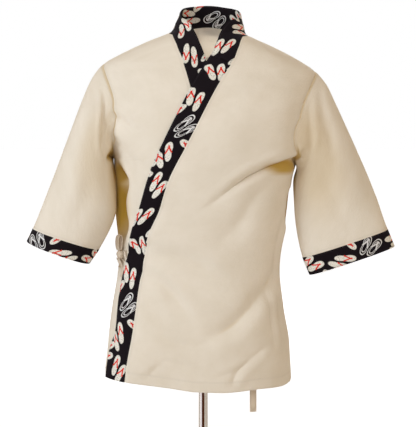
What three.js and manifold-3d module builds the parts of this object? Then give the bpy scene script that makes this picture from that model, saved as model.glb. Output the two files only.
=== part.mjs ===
// A short kimono-style chef's jacket, wrapped left over right and tied at the waist, worn by a limbless
// dress form on a short pole with a round base. Millimetres, +Z up, front towards -Y, the pole on the
// Z axis and the base standing on Z = 0. Left and right are the wearer's: left is +X.
import * as THREE from "three";
import * as BufferGeometryUtils from "three/addons/utils/BufferGeometryUtils.js";
import Module from "manifold-3d";

// Sizes of the cloth and its trim
const CLOTH = 2.0; // thickness of the jacket's cloth with its crumple
const BAND_THICK = 2.4; // the folded neck band
const CUFF_THICK = 2.4;
const TIE_WIDTH = 14;
const TIE_THICK = 1.8;
const LAYER = 3.6; // how far the overlapping front lies outside the one under it
const DRAWN_IN = 4.5; // and how far the covered one draws in
const SEAM = 0.3; // gap between pieces that meet at a seam

// Heights in the garment's own upright frame, counted from a pivot on the pole
const PIVOT = 580; // height of that pivot above the floor
const LEAN = THREE.MathUtils.degToRad(2.2); // the form leans to its left on the pole
const HEM = -317;
const VENT_TOP = -217;
const ARMPIT = 143;
const TIP = 340; // shoulder tips
const NECK = 408; // where the shoulder seams meet the neck
const NAPE = 428;

// The pole and its base
const POLE_R = 9.5;
const BASE_R = 150;
const BASE_THICK = 8;
const BOSS_R = 19;
const BOSS_TOP = 34;
const SOCKET_R = 10.2;
const SOCKET_DEPTH = 70;

const deg = THREE.MathUtils.degToRad;
const { sin, cos, abs, atan2, acos, max, min, PI } = Math;

// Rings round the body, a row for each level
const RINGS = table(
  ["height", "half", "front", "back", "midX", "midY", "square"],
  [
    [-332, 196, 130, 124, 0, 0, 2.4],
    [-317, 195, 129, 123, 0, 0, 2.4],
    [-230, 188, 123, 117, 0, 0, 2.4],
    [-154, 176, 115, 106, -4, 0, 2.35],
    [-60, 168, 108, 92, -5, 0, 2.3],
    [45, 179, 118, 100, -6, 0, 2.3],
    [110, 183, 124, 108, -5, 0, 2.35],
    [143, 187, 125, 112, -2, 0, 2.4],
    [170, 200, 125, 114, 0, 1, 2.4],
    [204, 213, 122, 115, 0, 2, 2.4],
    [238, 218, 118, 114, 0, 3, 2.4],
    [277, 221, 112, 110, 0, 5, 2.4],
    [310, 223, 105, 104, 0, 7, 2.35],
    [328, 222, 100, 98, 0, 8, 2.3],
    [340, 216, 97, 95, 0, 8, 2.3],
    [350, 201, 94, 92, 0, 9, 2.28],
    [370, 164, 88, 84, -1, 10, 2.25],
    [387, 128, 82, 76, -2, 11, 2.2],
    [402, 92, 75, 70, -3, 12, 2.1],
    [410, 76, 72, 68, -4, 12, 2.05],
    [428, 69, 68, 66, -3, 12, 2.0],
    [450, 62, 63, 62, -2, 12, 2.0],
    [480, 58, 59, 59, -2, 12, 2.0],
  ],
);

// The same for the dress form, which carries the cloth at the shoulders and is clear of it below
const FORM = table(
  ["height", "half", "front", "back", "midX", "midY", "square"],
  [
    [-262, 118, 64, 60, -2, 0, 2.3],
    [-258, 140, 84, 78, -2, 0, 2.3],
    [-246, 154, 96, 90, -2, 0, 2.3],
    [-154, 157, 97, 89, -3, 0, 2.3],
    [-60, 150, 91, 76, -4, 0, 2.3],
    [45, 163, 102, 86, -4, 0, 2.3],
    [143, 172, 111, 97, -2, 0, 2.35],
    [204, 192, 110, 103, 0, 2, 2.35],
    [238, 203, 108, 104, 0, 3, 2.35],
    [277, 211, 105, 102, 0, 5, 2.35],
    [310, 215.6, 100.1, 99.1, 0, 7, 2.33],
    [328, 217, 97.2, 95.2, 0, 8, 2.3],
    [340, 212.6, 95.2, 93.2, 0, 8, 2.3],
    [350, 198, 92.2, 90.2, 0, 9, 2.28],
    [370, 161, 86.3, 82.3, -1, 10, 2.25],
    [387, 125, 80.3, 74.3, -2, 11, 2.2],
    [402, 89, 73.3, 68.3, -3, 12, 2.1],
  ],
);
const FORM_BOTTOM = -262;
const SCOOP = { front: 296, side: 398, floor: 286 }; // the open neck, cut down between the shoulders

// The seam between each front and its band: angle from the front centre, positive to the left
const OVER_EDGE = table(
  ["height", "angle"],
  [
    [-332, -54.5], [-317, -54.5], [-229, -54], [-156, -53.5], [-100, -53.4], [-38, -50.3], [42, -38.2],
    [147, -23.2], [219, -9.5], [290, 6.8], [354, 28.2], [378, 36], [401, 51.1], [408, 90],
  ],
);
const UNDER_EDGE = table(
  ["height", "angle"],
  [
    [-332, 38], [-317, 38], [-229, 39], [-156, 39.5], [-100, 38.5], [-38, 34], [42, 21],
    [147, 5.5], [219, -5.5], [295, -18.5], [332, -26.5], [364, -35], [399, -54.5], [408, -90],
  ],
);

// The band is 45 wide and rolls a little narrower where the tie draws it in
const BAND_WIDTHS = table(
  ["height", "width"],
  [[-317, 47], [-230, 46], [-150, 45], [-60, 41], [0, 39], [60, 40], [140, 43], [220, 45], [340, 45], [480, 45]],
);

// The armhole, an egg seen from the side
const ARMHOLES = {
  left: { front: 72, back: 66, skew: 0.12, scoop: 0.5 },
  right: { front: 72, back: 66, skew: 0.12, scoop: 0.1 },
};

// Sleeve sections from the armhole to the cuff's edge: the outer and inner line, half the depth, its middle
const SLEEVE_COLUMNS = ["along", "outX", "outH", "inX", "inH", "depth", "midY"];
const SLEEVES = {
  left: table(SLEEVE_COLUMNS, [
    [0.0, 216, 340, 185, 143, 69, 8],
    [0.02, 223, 335.5, 188, 146.5, 69, 7.5],
    [0.05, 231, 327, 191.5, 146, 68.5, 7],
    [0.08, 238, 318, 192.5, 142.5, 68, 6],
    [0.2, 262, 275, 191, 134, 64, 2],
    [0.4, 306, 191, 187, 109, 54, -6],
    [0.65, 350, 95, 191, 50, 43, -14],
    [0.9, 382, 19, 211, -45, 34, -20],
    [1.0, 398, -17, 227, -82, 32, -22],
  ]),
  right: table(SLEEVE_COLUMNS, [
    [0.0, -216, 340, -189, 143, 69, 8],
    [0.02, -223, 334.5, -192, 146.5, 69, 7],
    [0.05, -231, 324, -195.5, 146, 68.5, 4],
    [0.08, -237, 313, -196, 142.5, 68, 0],
    [0.2, -255, 265, -193, 134, 64, -22],
    [0.4, -284, 178, -187, 105, 60, -46],
    [0.65, -314, 85, -179, 42, 57, -60],
    [0.9, -346, -3, -202, -45, 55, -62],
    [1.0, -358, -31, -221, -80, 55, -62],
  ]),
};
const SLEEVE_SQUARE = 2.3;
const CUFF_FROM = 0.905;

// Folds: start, middle and end of each, its half width, and its depth, in where negative
const FOLD_COLUMNS = ["angle1", "height1", "angle2", "height2", "angle3", "height3", "width", "depth"];
const BODY_FOLDS = table(FOLD_COLUMNS, [
  [76, 166, 48, 160, 18, 100, 24, 5], // the drag from the left armpit towards the tied side
  [80, 132, 48, 122, 14, 40, 22, -7],
  [70, -95, 40, -200, -4, -245, 22, -7], // the sag across the left hip
  [74, -140, 48, -235, 10, -285, 20, 5],
  [58, -235, 40, -262, 26, -300, 12, -5],
  [-30, -305, -22, -285, -12, -265, 10, -3],
  [-74, 110, -73, 30, -71, -40, 20, -9], // the hollow down the tied side
  [-60, 205, -50, 190, -36, 150, 16, -4],
  [252, 150, 232, 120, 205, 40, 24, -6], // the back: from both armpits to the small of the back
  [108, 150, 128, 118, 155, 40, 24, -6],
  [262, -60, 235, -110, 200, -130, 20, -5],
  [98, -70, 130, -120, 165, -140, 20, -5],
  [225, -180, 222, -250, 218, -330, 22, -6],
  [140, -180, 142, -250, 146, -330, 22, -6],
]);
const FOLD_REACH = 170; // the body's mean radius, which turns an angle into a distance
const SLEEVE_FOLD_COLUMNS = ["angle1", "along1", "angle2", "along2", "width", "depth"];
const SLEEVE_FOLDS = {
  left: table(SLEEVE_FOLD_COLUMNS, [
    [55, 0.06, 40, 0.45, 16, -5],
    [150, 0.03, 110, 0.3, 13, -6],
    [120, 0.5, 95, 0.8, 18, -3],
    [235, 0.06, 262, 0.4, 16, -5],
    [300, 0.1, 290, 0.6, 18, -4],
  ]),
  right: table(SLEEVE_FOLD_COLUMNS, [
    [70, 0.12, 120, 0.36, 15, -6],
    [160, 0.05, 150, 0.35, 13, -5],
    [235, 0.06, 262, 0.4, 16, -5],
    [300, 0.1, 290, 0.6, 18, -4],
  ]),
};
const SLEEVE_LENGTH = 400;
const SLEEVE_REACH = 62;

// Named columns as smooth functions of the first one, or of the row for each fold
function table(columns, rows) {
  return { columns, rows };
}

function column(tab, name) {
  const k = tab.columns.indexOf(name);
  const xs = tab.rows.map((row) => row[0]);
  const ys = tab.rows.map((row) => row[k]);
  return monotoneCurve(xs, ys);
}

function monotoneCurve(xs, ys) {
  const last = xs.length - 1;
  const step = xs.slice(1).map((x, i) => x - xs[i]);
  const slope = step.map((h, i) => (ys[i + 1] - ys[i]) / h);
  const tangent = xs.map((_, i) => {
    if (i === 0) return slope[0];
    if (i === last) return slope[last - 1];
    if (slope[i - 1] * slope[i] <= 0) return 0;
    const w1 = 2 * step[i] + step[i - 1];
    const w2 = step[i] + 2 * step[i - 1];
    return (w1 + w2) / (w1 / slope[i - 1] + w2 / slope[i]);
  });
  return (x) => {
    let i = 0;
    while (i < last - 1 && x > xs[i + 1]) i++;
    const t = min(max((x - xs[i]) / step[i], 0), 1);
    const u = 1 - t;
    return (
      ys[i] * (1 + 2 * t) * u * u + step[i] * tangent[i] * t * u * u +
      ys[i + 1] * t * t * (3 - 2 * t) - step[i] * tangent[i + 1] * t * t * u
    );
  };
}

function smooth(from, to, x) {
  const t = min(max((x - from) / (to - from), 0), 1);
  return t * t * (3 - 2 * t);
}

// The point of a table of rings at an angle from the front centre and a height
function ringSurface(tab) {
  const [half, front, back, midX, midY, square] = tab.columns.slice(1).map((name) => column(tab, name));
  const surface = (angle, h) => {
    const n = square(h);
    const s = sin(angle);
    const c = cos(angle);
    const depth = c > 0 ? front(h) : back(h);
    const r = ((abs(s) / half(h)) ** n + (abs(c) / depth) ** n) ** (-1 / n);
    return new THREE.Vector3(midX(h) + r * s, midY(h) - r * c, h);
  };
  return Object.assign(surface, { half, front, back, midX, midY, square });
}
const plainBody = ringSurface(RINGS);
const formSurface = ringSurface(FORM);

// How far a point lies from a fold's line, which bends through its middle
function foldLine(points) {
  const curve = new THREE.QuadraticBezierCurve(...points);
  const samples = curve.getPoints(12);
  return (p) => min(...samples.slice(1).map((b, i) => segmentDistance(p, samples[i], b)));
}

function segmentDistance(p, a, b) {
  const along = b.clone().sub(a);
  const t = min(max(p.clone().sub(a).dot(along) / along.lengthSq(), 0), 1);
  return p.distanceTo(a.clone().addScaledVector(along, t));
}

function bodyFolds() {
  return BODY_FOLDS.rows.map(([a1, h1, a2, h2, a3, h3, width, depth]) => {
    const place = (a, h) => new THREE.Vector2(deg(a) * FOLD_REACH, h);
    const middle = place(2 * a2 - (a1 + a3) / 2, 2 * h2 - (h1 + h3) / 2);
    const distance = foldLine([place(a1, h1), middle, place(a3, h3)]);
    return (angle, h) => depth * Math.exp(-((distance(place(THREE.MathUtils.radToDeg(angle), h)) / width) ** 2));
  });
}
const FOLDS_ON_BODY = bodyFolds();

// The fronts' hem is drawn up at the overlapping front's free corner and towards the left vent
function hemRise(angle) {
  if (abs(angle) > deg(92)) return 0;
  return 19 * min(max(-0.07 - angle, 0) / 1.19, 1.05) + 7 * smooth(0.35, 0.96, angle) + 7 * smooth(1.15, 1.5, angle);
}

function body(angle, h) {
  const p = plainBody(angle, h);
  const turn = THREE.MathUtils.euclideanModulo(angle + deg(95), 2 * PI) - deg(95); // -95 to 265 degrees
  const depth = FOLDS_ON_BODY.reduce((sum, fold) => sum + fold(turn, h), 0);
  p.addScaledVector(normalOf(plainBody, angle, h), depth);
  return p.setZ(p.z + hemRise(turn) * smooth(-190, HEM, h));
}

// The overlapping front hangs free of the body below the tie, most at its corner
function overBody(angle, h) {
  const free = smooth(-70, -300, h) * smooth(deg(-18), deg(-72), angle);
  return body(angle, h).add(new THREE.Vector3(-6 * free, -34 * free, 0));
}

function normalOf(surface, angle, h) {
  const across = surface(angle + 0.002, h).sub(surface(angle - 0.002, h));
  const up = surface(angle, h + 0.5).sub(surface(angle, h - 0.5));
  return across.cross(up).normalize();
}

// How far the overlapping front's inner face lies outside the body's: it joins the back and the collar at 0
function overLift(angle, h) {
  return LAYER * (1 - smooth(350, 398, h)) * (1 - smooth(deg(57), deg(70), angle));
}

// Where it is covered, the front beneath draws in a little from the one above
const overEdge = column(OVER_EDGE, "angle");

function underLift(angle, h) {
  const edge = deg(overEdge(h));
  const turn = angle > deg(200) ? angle - 2 * PI : angle;
  return -DRAWN_IN * smooth(edge - deg(17), edge + deg(2), turn) * (1 - smooth(deg(62), deg(80), turn));
}

function layerPoint(surface, lift) {
  return (angle, h, out) => surface(angle, h).addScaledVector(normalOf(surface, angle, h), lift(angle, h) + out);
}
const underLayer = layerPoint(body, underLift);
const overLayer = layerPoint(overBody, overLift);

// From the garment's own frame to the part's, leaning on the pole
function lean(p) {
  return new THREE.Vector3(
    p.x * cos(LEAN) + p.z * sin(LEAN),
    p.y,
    PIVOT - p.x * sin(LEAN) + p.z * cos(LEAN),
  );
}

// A closed solid from two sheets of points, joined at their edges, wrapped into a tube where round is true
function wall(outer, inner, { round = false, place = lean } = {}) {
  const rows = outer.length;
  const columns = outer[0].length;
  const at = (sheet, i, j) => sheet * rows * columns + i * columns + (j % columns);
  const faces = [];
  const quad = (a, b, c, d) => faces.push(a, b, c, a, c, d);
  const spans = round ? columns : columns - 1;
  const [top, end] = [rows - 1, columns - 1];
  for (let j = 0; j < spans; j++) {
    for (let i = 0; i < top; i++) {
      quad(at(0, i, j), at(0, i, j + 1), at(0, i + 1, j + 1), at(0, i + 1, j));
      quad(at(1, i, j), at(1, i + 1, j), at(1, i + 1, j + 1), at(1, i, j + 1));
    }
    quad(at(1, 0, j), at(1, 0, j + 1), at(0, 0, j + 1), at(0, 0, j));
    quad(at(0, top, j), at(0, top, j + 1), at(1, top, j + 1), at(1, top, j));
  }
  for (let i = 0; i < top && !round; i++) {
    quad(at(1, i, 0), at(0, i, 0), at(0, i + 1, 0), at(1, i + 1, 0));
    quad(at(0, i, end), at(1, i, end), at(1, i + 1, end), at(0, i + 1, end));
  }
  return solid([...outer.flat(), ...inner.flat()].map(place), faces);
}

// A closed solid from rings of points between two end points
function capped(rings, first, last, place = lean) {
  const columns = rings[0].length;
  const points = [...rings.flat(), first, last].map(place);
  const at = (i, j) => i * columns + (j % columns);
  const [head, foot] = [rings.length * columns, rings.length * columns + 1];
  const faces = [];
  for (let j = 0; j < columns; j++) {
    faces.push(head, at(0, j), at(0, j + 1));
    for (let i = 0; i < rings.length - 1; i++) {
      faces.push(at(i, j), at(i + 1, j), at(i + 1, j + 1));
      faces.push(at(i, j), at(i + 1, j + 1), at(i, j + 1));
    }
    faces.push(foot, at(rings.length - 1, j + 1), at(rings.length - 1, j));
  }
  return solid(points, faces);
}

// Turns the faces round where they would enclose a negative volume
function solid(points, faces) {
  let volume = 0;
  for (let k = 0; k < faces.length; k += 3) {
    const [a, b, c] = [points[faces[k]], points[faces[k + 1]], points[faces[k + 2]]];
    volume += a.dot(b.clone().cross(c));
  }
  const geometry = new THREE.BufferGeometry().setFromPoints(points);
  geometry.setIndex(volume < 0 ? faces.reverse() : faces);
  return geometry;
}

function spread(from, to, count) {
  return Array.from({ length: count + 1 }, (_, i) => from + ((to - from) * i) / count);
}

// The armhole's loop: 0 at the shoulder tip, a quarter turn at the front, half under the arm
function armhole(side, turn) {
  const h = (TIP + ARMPIT) / 2 + ((TIP - ARMPIT) / 2) * cos(turn);
  const s = sin(turn);
  const { front, back: behind, skew, scoop } = side > 0 ? ARMHOLES.left : ARMHOLES.right;
  const hollow = s > 0 ? scoop * s * max(-cos(turn), 0) : 0; // the front is cut deeper low down
  const y = -(s > 0 ? front : behind) * s * (1 - skew * cos(turn) + hollow);
  const n = plainBody.square(h);
  const depth = s > 0 ? plainBody.front(h) : plainBody.back(h);
  const x = side * plainBody.half(h) * (1 - abs(y / depth) ** n) ** (1 / n);
  return { angle: atan2(x, -y), height: h };
}

// The angle at which a front or the back ends at its side: side seam, armhole or shoulder seam
function sideAngle(side, isFront, h) {
  const way = side * (isFront ? -1 : 1); // the sense in which the panel draws back from the seam
  const vent = smooth(VENT_TOP, HEM, h) * deg(isFront ? 5 : -1);
  if (h <= ARMPIT || h >= TIP) return side * (PI / 2) + way * (SEAM / 200 + vent);
  const turn = acos((h - (TIP + ARMPIT) / 2) / ((TIP - ARMPIT) / 2));
  return armhole(side, isFront ? turn : -turn).angle;
}

// Rows of a panel, closer where its outline turns
const LOW_ROWS = spread(HEM, ARMPIT, 18);
const ARM_ROWS = [147, 156, 170, 190, 215, 242, 269, 294, 314, 328, 336, TIP];
const SHOULDER_ROWS = [350, 362, 374, 386, 395, 401, 404.5, 406.3, 407.3];
const NECKLINE_ROWS = [408.3, 410, 414, 419, 423.5, 426.5, 427.6];
const PANEL_ROWS = [...LOW_ROWS, ...ARM_ROWS, ...SHOULDER_ROWS];
const SHRINK = 0.4; // how far a panel stops short of the seam line of its band

function panel(layer, rows, from, to, columns) {
  const sheet = (out) => rows.map((h) => spread(from(h), to(h), columns).map((angle) => layer(angle, h, out)));
  return wall(sheet(CLOTH), sheet(0));
}

function edgeAngle(edge, side) {
  const angle = column(edge, "angle");
  return (h) => deg(angle(h + SHRINK)) + (side * SHRINK) / 100;
}

function leftFront() {
  return panel(overLayer, PANEL_ROWS, edgeAngle(OVER_EDGE, 1), (h) => sideAngle(1, true, h), 16);
}

function rightFront() {
  return panel(underLayer, PANEL_ROWS, (h) => sideAngle(-1, true, h), edgeAngle(UNDER_EDGE, -1), 14);
}

// The back's neckline rises from the shoulder seams to the nape
function necklineAngle(h) {
  const t = min((h - NECK) / (NAPE - NECK), 1);
  return PI / 2 + acos(1 - 2 * t) / 2;
}

function back() {
  const rows = [...PANEL_ROWS, ...NECKLINE_ROWS];
  const neck = (h) => necklineAngle(h + SHRINK) + SHRINK / 70;
  const from = (h) => (h > NECK ? neck(h) : sideAngle(1, false, h));
  const to = (h) => (h > NECK ? 2 * PI - neck(h) : 2 * PI + sideAngle(-1, false, h));
  return panel(underLayer, rows, from, to, 20);
}

// The one long band: its seam line runs up the left front, round the neck and down the right front
function bandStops() {
  const over = column(OVER_EDGE, "angle");
  const under = column(UNDER_EDGE, "angle");
  const leftSide = PANEL_ROWS.map((h) => [deg(over(h)), h]);
  const leftNeck = [[PI / 2, NECK], ...NECKLINE_ROWS.map((h) => [necklineAngle(h), h])];
  const rightNeck = leftNeck.map(([angle, h]) => [2 * PI - angle, h]).reverse();
  const rightSide = PANEL_ROWS.map((h) => [2 * PI + deg(under(h)), h]).reverse();
  return [...leftSide, ...leftNeck, [PI, NAPE], ...rightNeck, ...rightSide];
}
const BAND_STOPS = bandStops();
const LEFT_JOIN = PANEL_ROWS.length; // the stops at the two shoulder seams
const RIGHT_JOIN = BAND_STOPS.length - 1 - PANEL_ROWS.length;

function bandStop(t) {
  const i = min(Math.floor(t), BAND_STOPS.length - 2);
  const u = t - i;
  return [0, 1].map((k) => BAND_STOPS[i][k] * (1 - u) + BAND_STOPS[i + 1][k] * u);
}

const bandWidth = column(BAND_WIDTHS, "width");
const BAND_ACROSS = 3;
const MARCH = 4; // steps laid off across each division of the band's width

function bandPiece(surface, layer, from, to) {
  const stops = [from, ...spread(Math.ceil(from + 0.01), Math.floor(to - 0.01), Math.round(to - from - 1)), to];
  const rows = stops.map((t) => bandRow(surface, t));
  const sheet = (out) => rows.map((row) => row.map(([angle, h]) => layer(angle, h, out)));
  return wall(sheet(0), sheet(BAND_THICK));
}

// The band's width at one stop, laid off square to the seam line over the surface
function bandRow(surface, t) {
  const before = surface(...bandStop(max(t - 0.5, 0)));
  const run = surface(...bandStop(min(t + 0.5, BAND_STOPS.length - 1))).sub(before);
  let [angle, h] = bandStop(t);
  const level = h === HEM;
  const width = bandWidth(h);
  const row = [];
  const advance = (length) => {
    const across = surface(angle + 0.002, h).sub(surface(angle - 0.002, h)).divideScalar(0.004);
    const up = surface(angle, h + 0.5).sub(surface(angle, h - 0.5));
    const way = across.clone().cross(up).cross(run).normalize();
    const [aa, ab, bb] = [across.dot(across), across.dot(up), up.dot(up)];
    const [wa, wb] = [way.dot(across), way.dot(up)];
    const det = aa * bb - ab * ab;
    angle += level ? (Math.sign(wa) * length) / across.length() : ((wa * bb - wb * ab) / det) * length;
    h = level ? HEM : max(h + ((wb * aa - wa * ab) / det) * length, HEM);
  };
  advance(SEAM / 2);
  for (let k = 0; k <= BAND_ACROSS * MARCH; k++) {
    if (k % MARCH === 0) row.push([angle, h]);
    advance((width - SEAM / 2) / (BAND_ACROSS * MARCH));
  }
  return row;
}

// Sleeves: sections that start as the armhole's own edge and end round the forearm
function sleeveSurface(name) {
  const side = name === "left" ? 1 : -1;
  const [outX, outH, inX, inH, depth, midY] = SLEEVE_COLUMNS.slice(1).map((c) => column(SLEEVES[name], c));
  const section = (turn, t) => {
    const n = SLEEVE_SQUARE;
    const r = (abs(cos(turn)) ** n + abs(sin(turn)) ** n) ** (-1 / n);
    const c = (1 + cos(turn) * r) / 2;
    const x = inX(t) + (outX(t) - inX(t)) * c;
    const h = inH(t) + (outH(t) - inH(t)) * c;
    return new THREE.Vector3(x, midY(t) - depth(t) * sin(turn) * r, h);
  };
  const folds = SLEEVE_FOLDS[name].rows.map(([a1, t1, a2, t2, width, foldDepth]) => {
    const place = (a, t) => new THREE.Vector2(a * SLEEVE_REACH, t * SLEEVE_LENGTH);
    const [p, q] = [place(deg(a1), t1), place(deg(a2), t2)];
    const distance = (turn, t) => segmentDistance(place(turn, t), p, q);
    return (turn, t) => foldDepth * smooth(0.02, 0.12, t) * Math.exp(-((distance(turn, t) / width) ** 2));
  });
  const edge = (turn) => {
    const { angle, height } = armhole(side, turn);
    return { point: body(angle, height), out: normalOf(body, angle, height) };
  };
  const plain = (turn, t) => {
    const fade = 1 - smooth(0, 0.3, t);
    return section(turn, t).addScaledVector(edge(turn).point.sub(section(turn, 0)), fade);
  };
  const facing = (turn, t) => {
    const at = min(max(t, 0.005), 0.995);
    const round = plain(turn + 0.01, at).sub(plain(turn - 0.01, at));
    const along = plain(turn, at + 0.005).sub(plain(turn, at - 0.005));
    const own = round.cross(along).multiplyScalar(side).normalize();
    return own.lerp(edge(turn).out, 1 - smooth(0, 0.03, t)).normalize();
  };
  return (turn, t, out) => {
    const depthHere = folds.reduce((sum, fold) => sum + fold(turn, t), 0);
    return plain(turn, t).addScaledVector(facing(turn, t), out + depthHere);
  };
}

const ARM_TURNS = [ARMPIT, ...ARM_ROWS].map((h) => acos((2 * h - TIP - ARMPIT) / (TIP - ARMPIT))).reverse();
const SLEEVE_TURNS = [...ARM_TURNS, ...ARM_TURNS.slice(1, -1).map((turn) => 2 * PI - turn).reverse()];
const SLEEVE_STATIONS = [0.003, 0.02, 0.05, 0.09, 0.15, 0.22, 0.31, 0.41, 0.52, 0.63, 0.74, 0.84, CUFF_FROM - 0.0008];
const CUFF_STATIONS = [CUFF_FROM, 0.95, 1.0];

function sleevePiece(name, stations, thick) {
  const at = sleeveSurface(name);
  const sheet = (out) => stations.map((t) => SLEEVE_TURNS.map((turn) => at(turn, t, out)));
  return wall(sheet(thick), sheet(0), { round: true });
}

// Ties: a flat ribbon through points, its width turned to one direction
function ribbon(points, wide, place = lean) {
  const sheet = (up) => points.map((p, k) => {
    const run = points[min(k + 1, points.length - 1)].clone().sub(points[max(k - 1, 0)]).normalize();
    const side = wide.clone().addScaledVector(run, -wide.dot(run)).normalize();
    const flat = run.clone().cross(side);
    const off = (w) => p.clone().addScaledVector(side, (w * TIE_WIDTH) / 2).addScaledVector(flat, (up * TIE_THICK) / 2);
    return [-1, 0, 1].map(off);
  });
  return wall(sheet(1), sheet(-1), { place });
}

// The knot on the tied side, and places counted from it: to the front, up, and out from the body
const KNOT = { angle: deg(-72.5), height: -52, out: 10.4 };
const KNOT_AT = underLayer(KNOT.angle, KNOT.height, KNOT.out);
const KNOT_OUT = normalOf(body, KNOT.angle, KNOT.height).setZ(0).normalize();
const UP = new THREE.Vector3(0, 0, 1);
const KNOT_FORE = UP.clone().cross(KNOT_OUT);
const BOW_LOOP = [
  [0, 9.5, 1], [-1, 18, -1.5], [-1.5, 28, -2.5], [-2, 36, -1.5], [-2, 39.5, 1.5], [-2, 37, 5],
  [-1.5, 28, 7], [-1, 18, 6.5], [0, 9.5, 4.5],
];

// Runs of tie along the cloth: angle, height, and distance out from its inner face
const TIE_RUNS = {
  front_waist_tie: { across: UP, stops: [[-67.8, -50, 5.8], [-68.9, -50.5, 7.2]] },
  side_waist_tie: { across: UP, stops: [[-89, -44, 3.7], [-84, -46, 4.2], [-79.6, -48, 5.5], [-76.6, -50, 7.6]] },
  short_tail: { across: KNOT_FORE, stops: [[-73.5, -61.3, 12.8], [-74.5, -67, 11.6], [-76.5, -76, 10]] },
  long_tail: { across: KNOT_FORE, stops: [[-72, -61.3, 7.4], [-72.8, -70, 5.4], [-74, -86, 4.4], [-75, -101, 4.1]] },
};

function nearKnot([fore, up, out]) {
  return KNOT_AT.clone().addScaledVector(KNOT_FORE, fore).addScaledVector(UP, up).addScaledVector(KNOT_OUT, out);
}

function knot() {
  const size = [8.5, 8.5, 6.5];
  const rings = spread(0, PI, 8).slice(1, -1).map((polar) => spread(0, 2 * PI, 14).slice(0, -1).map((turn) => {
    const pinch = 1 - 0.08 * cos(4 * turn) * sin(polar);
    return nearKnot([size[0] * sin(polar) * cos(turn) * pinch, size[1] * cos(polar), size[2] * sin(polar) * sin(turn)]);
  }));
  return capped(rings, nearKnot([0, size[1], 0]), nearKnot([0, -size[1], 0]));
}

// The dress form: rings up to an open neck that dips between the shoulders, closed by its hollow
function dressForm() {
  const angles = spread(0, 2 * PI, 36).slice(0, -1);
  const rim = (angle) => SCOOP.front + (SCOOP.side - SCOOP.front) * abs(sin(angle)) ** 4;
  const wallRows = [1, 0.985, 0.965, 0.94, 0.91, 0.87, 0.82, 0.74, 0.64, 0.53, 0.42, 0.31, 0.2, 0.1];
  const sides = wallRows.map((v) => angles.map((angle) => formSurface(angle, -246 + (rim(angle) + 246) * v)));
  const foot = [-246, -258, FORM_BOTTOM].map((h) => angles.map((angle) => formSurface(angle, h)));
  const hollow = [0.25, 0.5, 0.72, 0.88, 0.96].map((s) => angles.map((angle) => {
    const edge = formSurface(angle, rim(angle));
    const middleY = formSurface.midY(SCOOP.floor);
    const h = SCOOP.floor + (edge.z - SCOOP.floor) * s ** 3;
    return new THREE.Vector3(edge.x * s, middleY + (edge.y - middleY) * s, h);
  }));
  const rings = [...hollow, ...sides, ...foot];
  const middle = new THREE.Vector3(0, formSurface.midY(SCOOP.floor), SCOOP.floor);
  const form = capped(rings, middle, new THREE.Vector3(-2, 0, FORM_BOTTOM));
  return cut(form, rod(SOCKET_R, 200, SOCKET_TOP));
}
const FORM_FOOT = PIVOT + FORM_BOTTOM * cos(LEAN); // where the pole meets the form
const SOCKET_TOP = FORM_FOOT + SOCKET_DEPTH;

function rod(radius, from, to) {
  const geometry = new THREE.CylinderGeometry(radius, radius, to - from, 48);
  return geometry.rotateX(PI / 2).translate(0, 0, (from + to) / 2);
}

function pole() {
  const top = SOCKET_TOP - 0.5;
  const bottom = BASE_THICK + SEAM;
  return turned([[0, bottom], [POLE_R - 0.8, bottom], [POLE_R, bottom + 0.8], [POLE_R, top - 1], [POLE_R - 1, top], [0, top]]);
}

function basePlate() {
  const hole = POLE_R + SEAM;
  return turned([
    [0, 0], [BASE_R - 1.5, 0], [BASE_R, 1.5], [BASE_R, BASE_THICK - 2], [BASE_R - 0.6, BASE_THICK - 0.6],
    [BASE_R - 2, BASE_THICK], [BOSS_R + 5, BASE_THICK + 1.2], [BOSS_R + 1.5, BASE_THICK + 2.7],
    [BOSS_R, BASE_THICK + 6], [BOSS_R, BOSS_TOP - 2], [BOSS_R - 2, BOSS_TOP], [hole, BOSS_TOP],
    [hole, BASE_THICK], [0, BASE_THICK],
  ]);
}

function turned(profile) {
  const geometry = new THREE.LatheGeometry(profile.map(([r, z]) => new THREE.Vector2(r, z)), 48);
  return geometry.rotateX(PI / 2);
}

const wasm = await Module();
wasm.setup();

function toManifold(geometry) {
  const plain = geometry.clone();
  plain.deleteAttribute("normal");
  plain.deleteAttribute("uv");
  const merged = BufferGeometryUtils.mergeVertices(plain, 1e-4);
  const vertProperties = new Float32Array(merged.attributes.position.array);
  const triVerts = new Uint32Array(merged.index.array);
  return new wasm.Manifold(new wasm.Mesh({ numProp: 3, vertProperties, triVerts }));
}

function cut(geometry, tool) {
  const mesh = toManifold(geometry).subtract(toManifold(tool)).getMesh();
  const result = new THREE.BufferGeometry();
  result.setAttribute("position", new THREE.BufferAttribute(mesh.vertProperties, 3));
  result.setIndex(new THREE.BufferAttribute(mesh.triVerts, 1));
  return result;
}

function tieRun({ across, stops }) {
  return ribbon(stops.map(([angle, h, out]) => underLayer(deg(angle), h, out)), across);
}

// The inner tie hangs straight down from the waist and out below the hem
function innerTie() {
  const drops = [[-42, 83.3], [-60, 79.5], [-90, 79.5], [-180, 80], [-230, 84], [-260, 88], [-366, 90]];
  const points = drops.map(([h, y]) => new THREE.Vector3(102.5, -y, PIVOT + h));
  return ribbon(points, new THREE.Vector3(1, 0.35, 0).normalize(), (p) => p);
}

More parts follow.
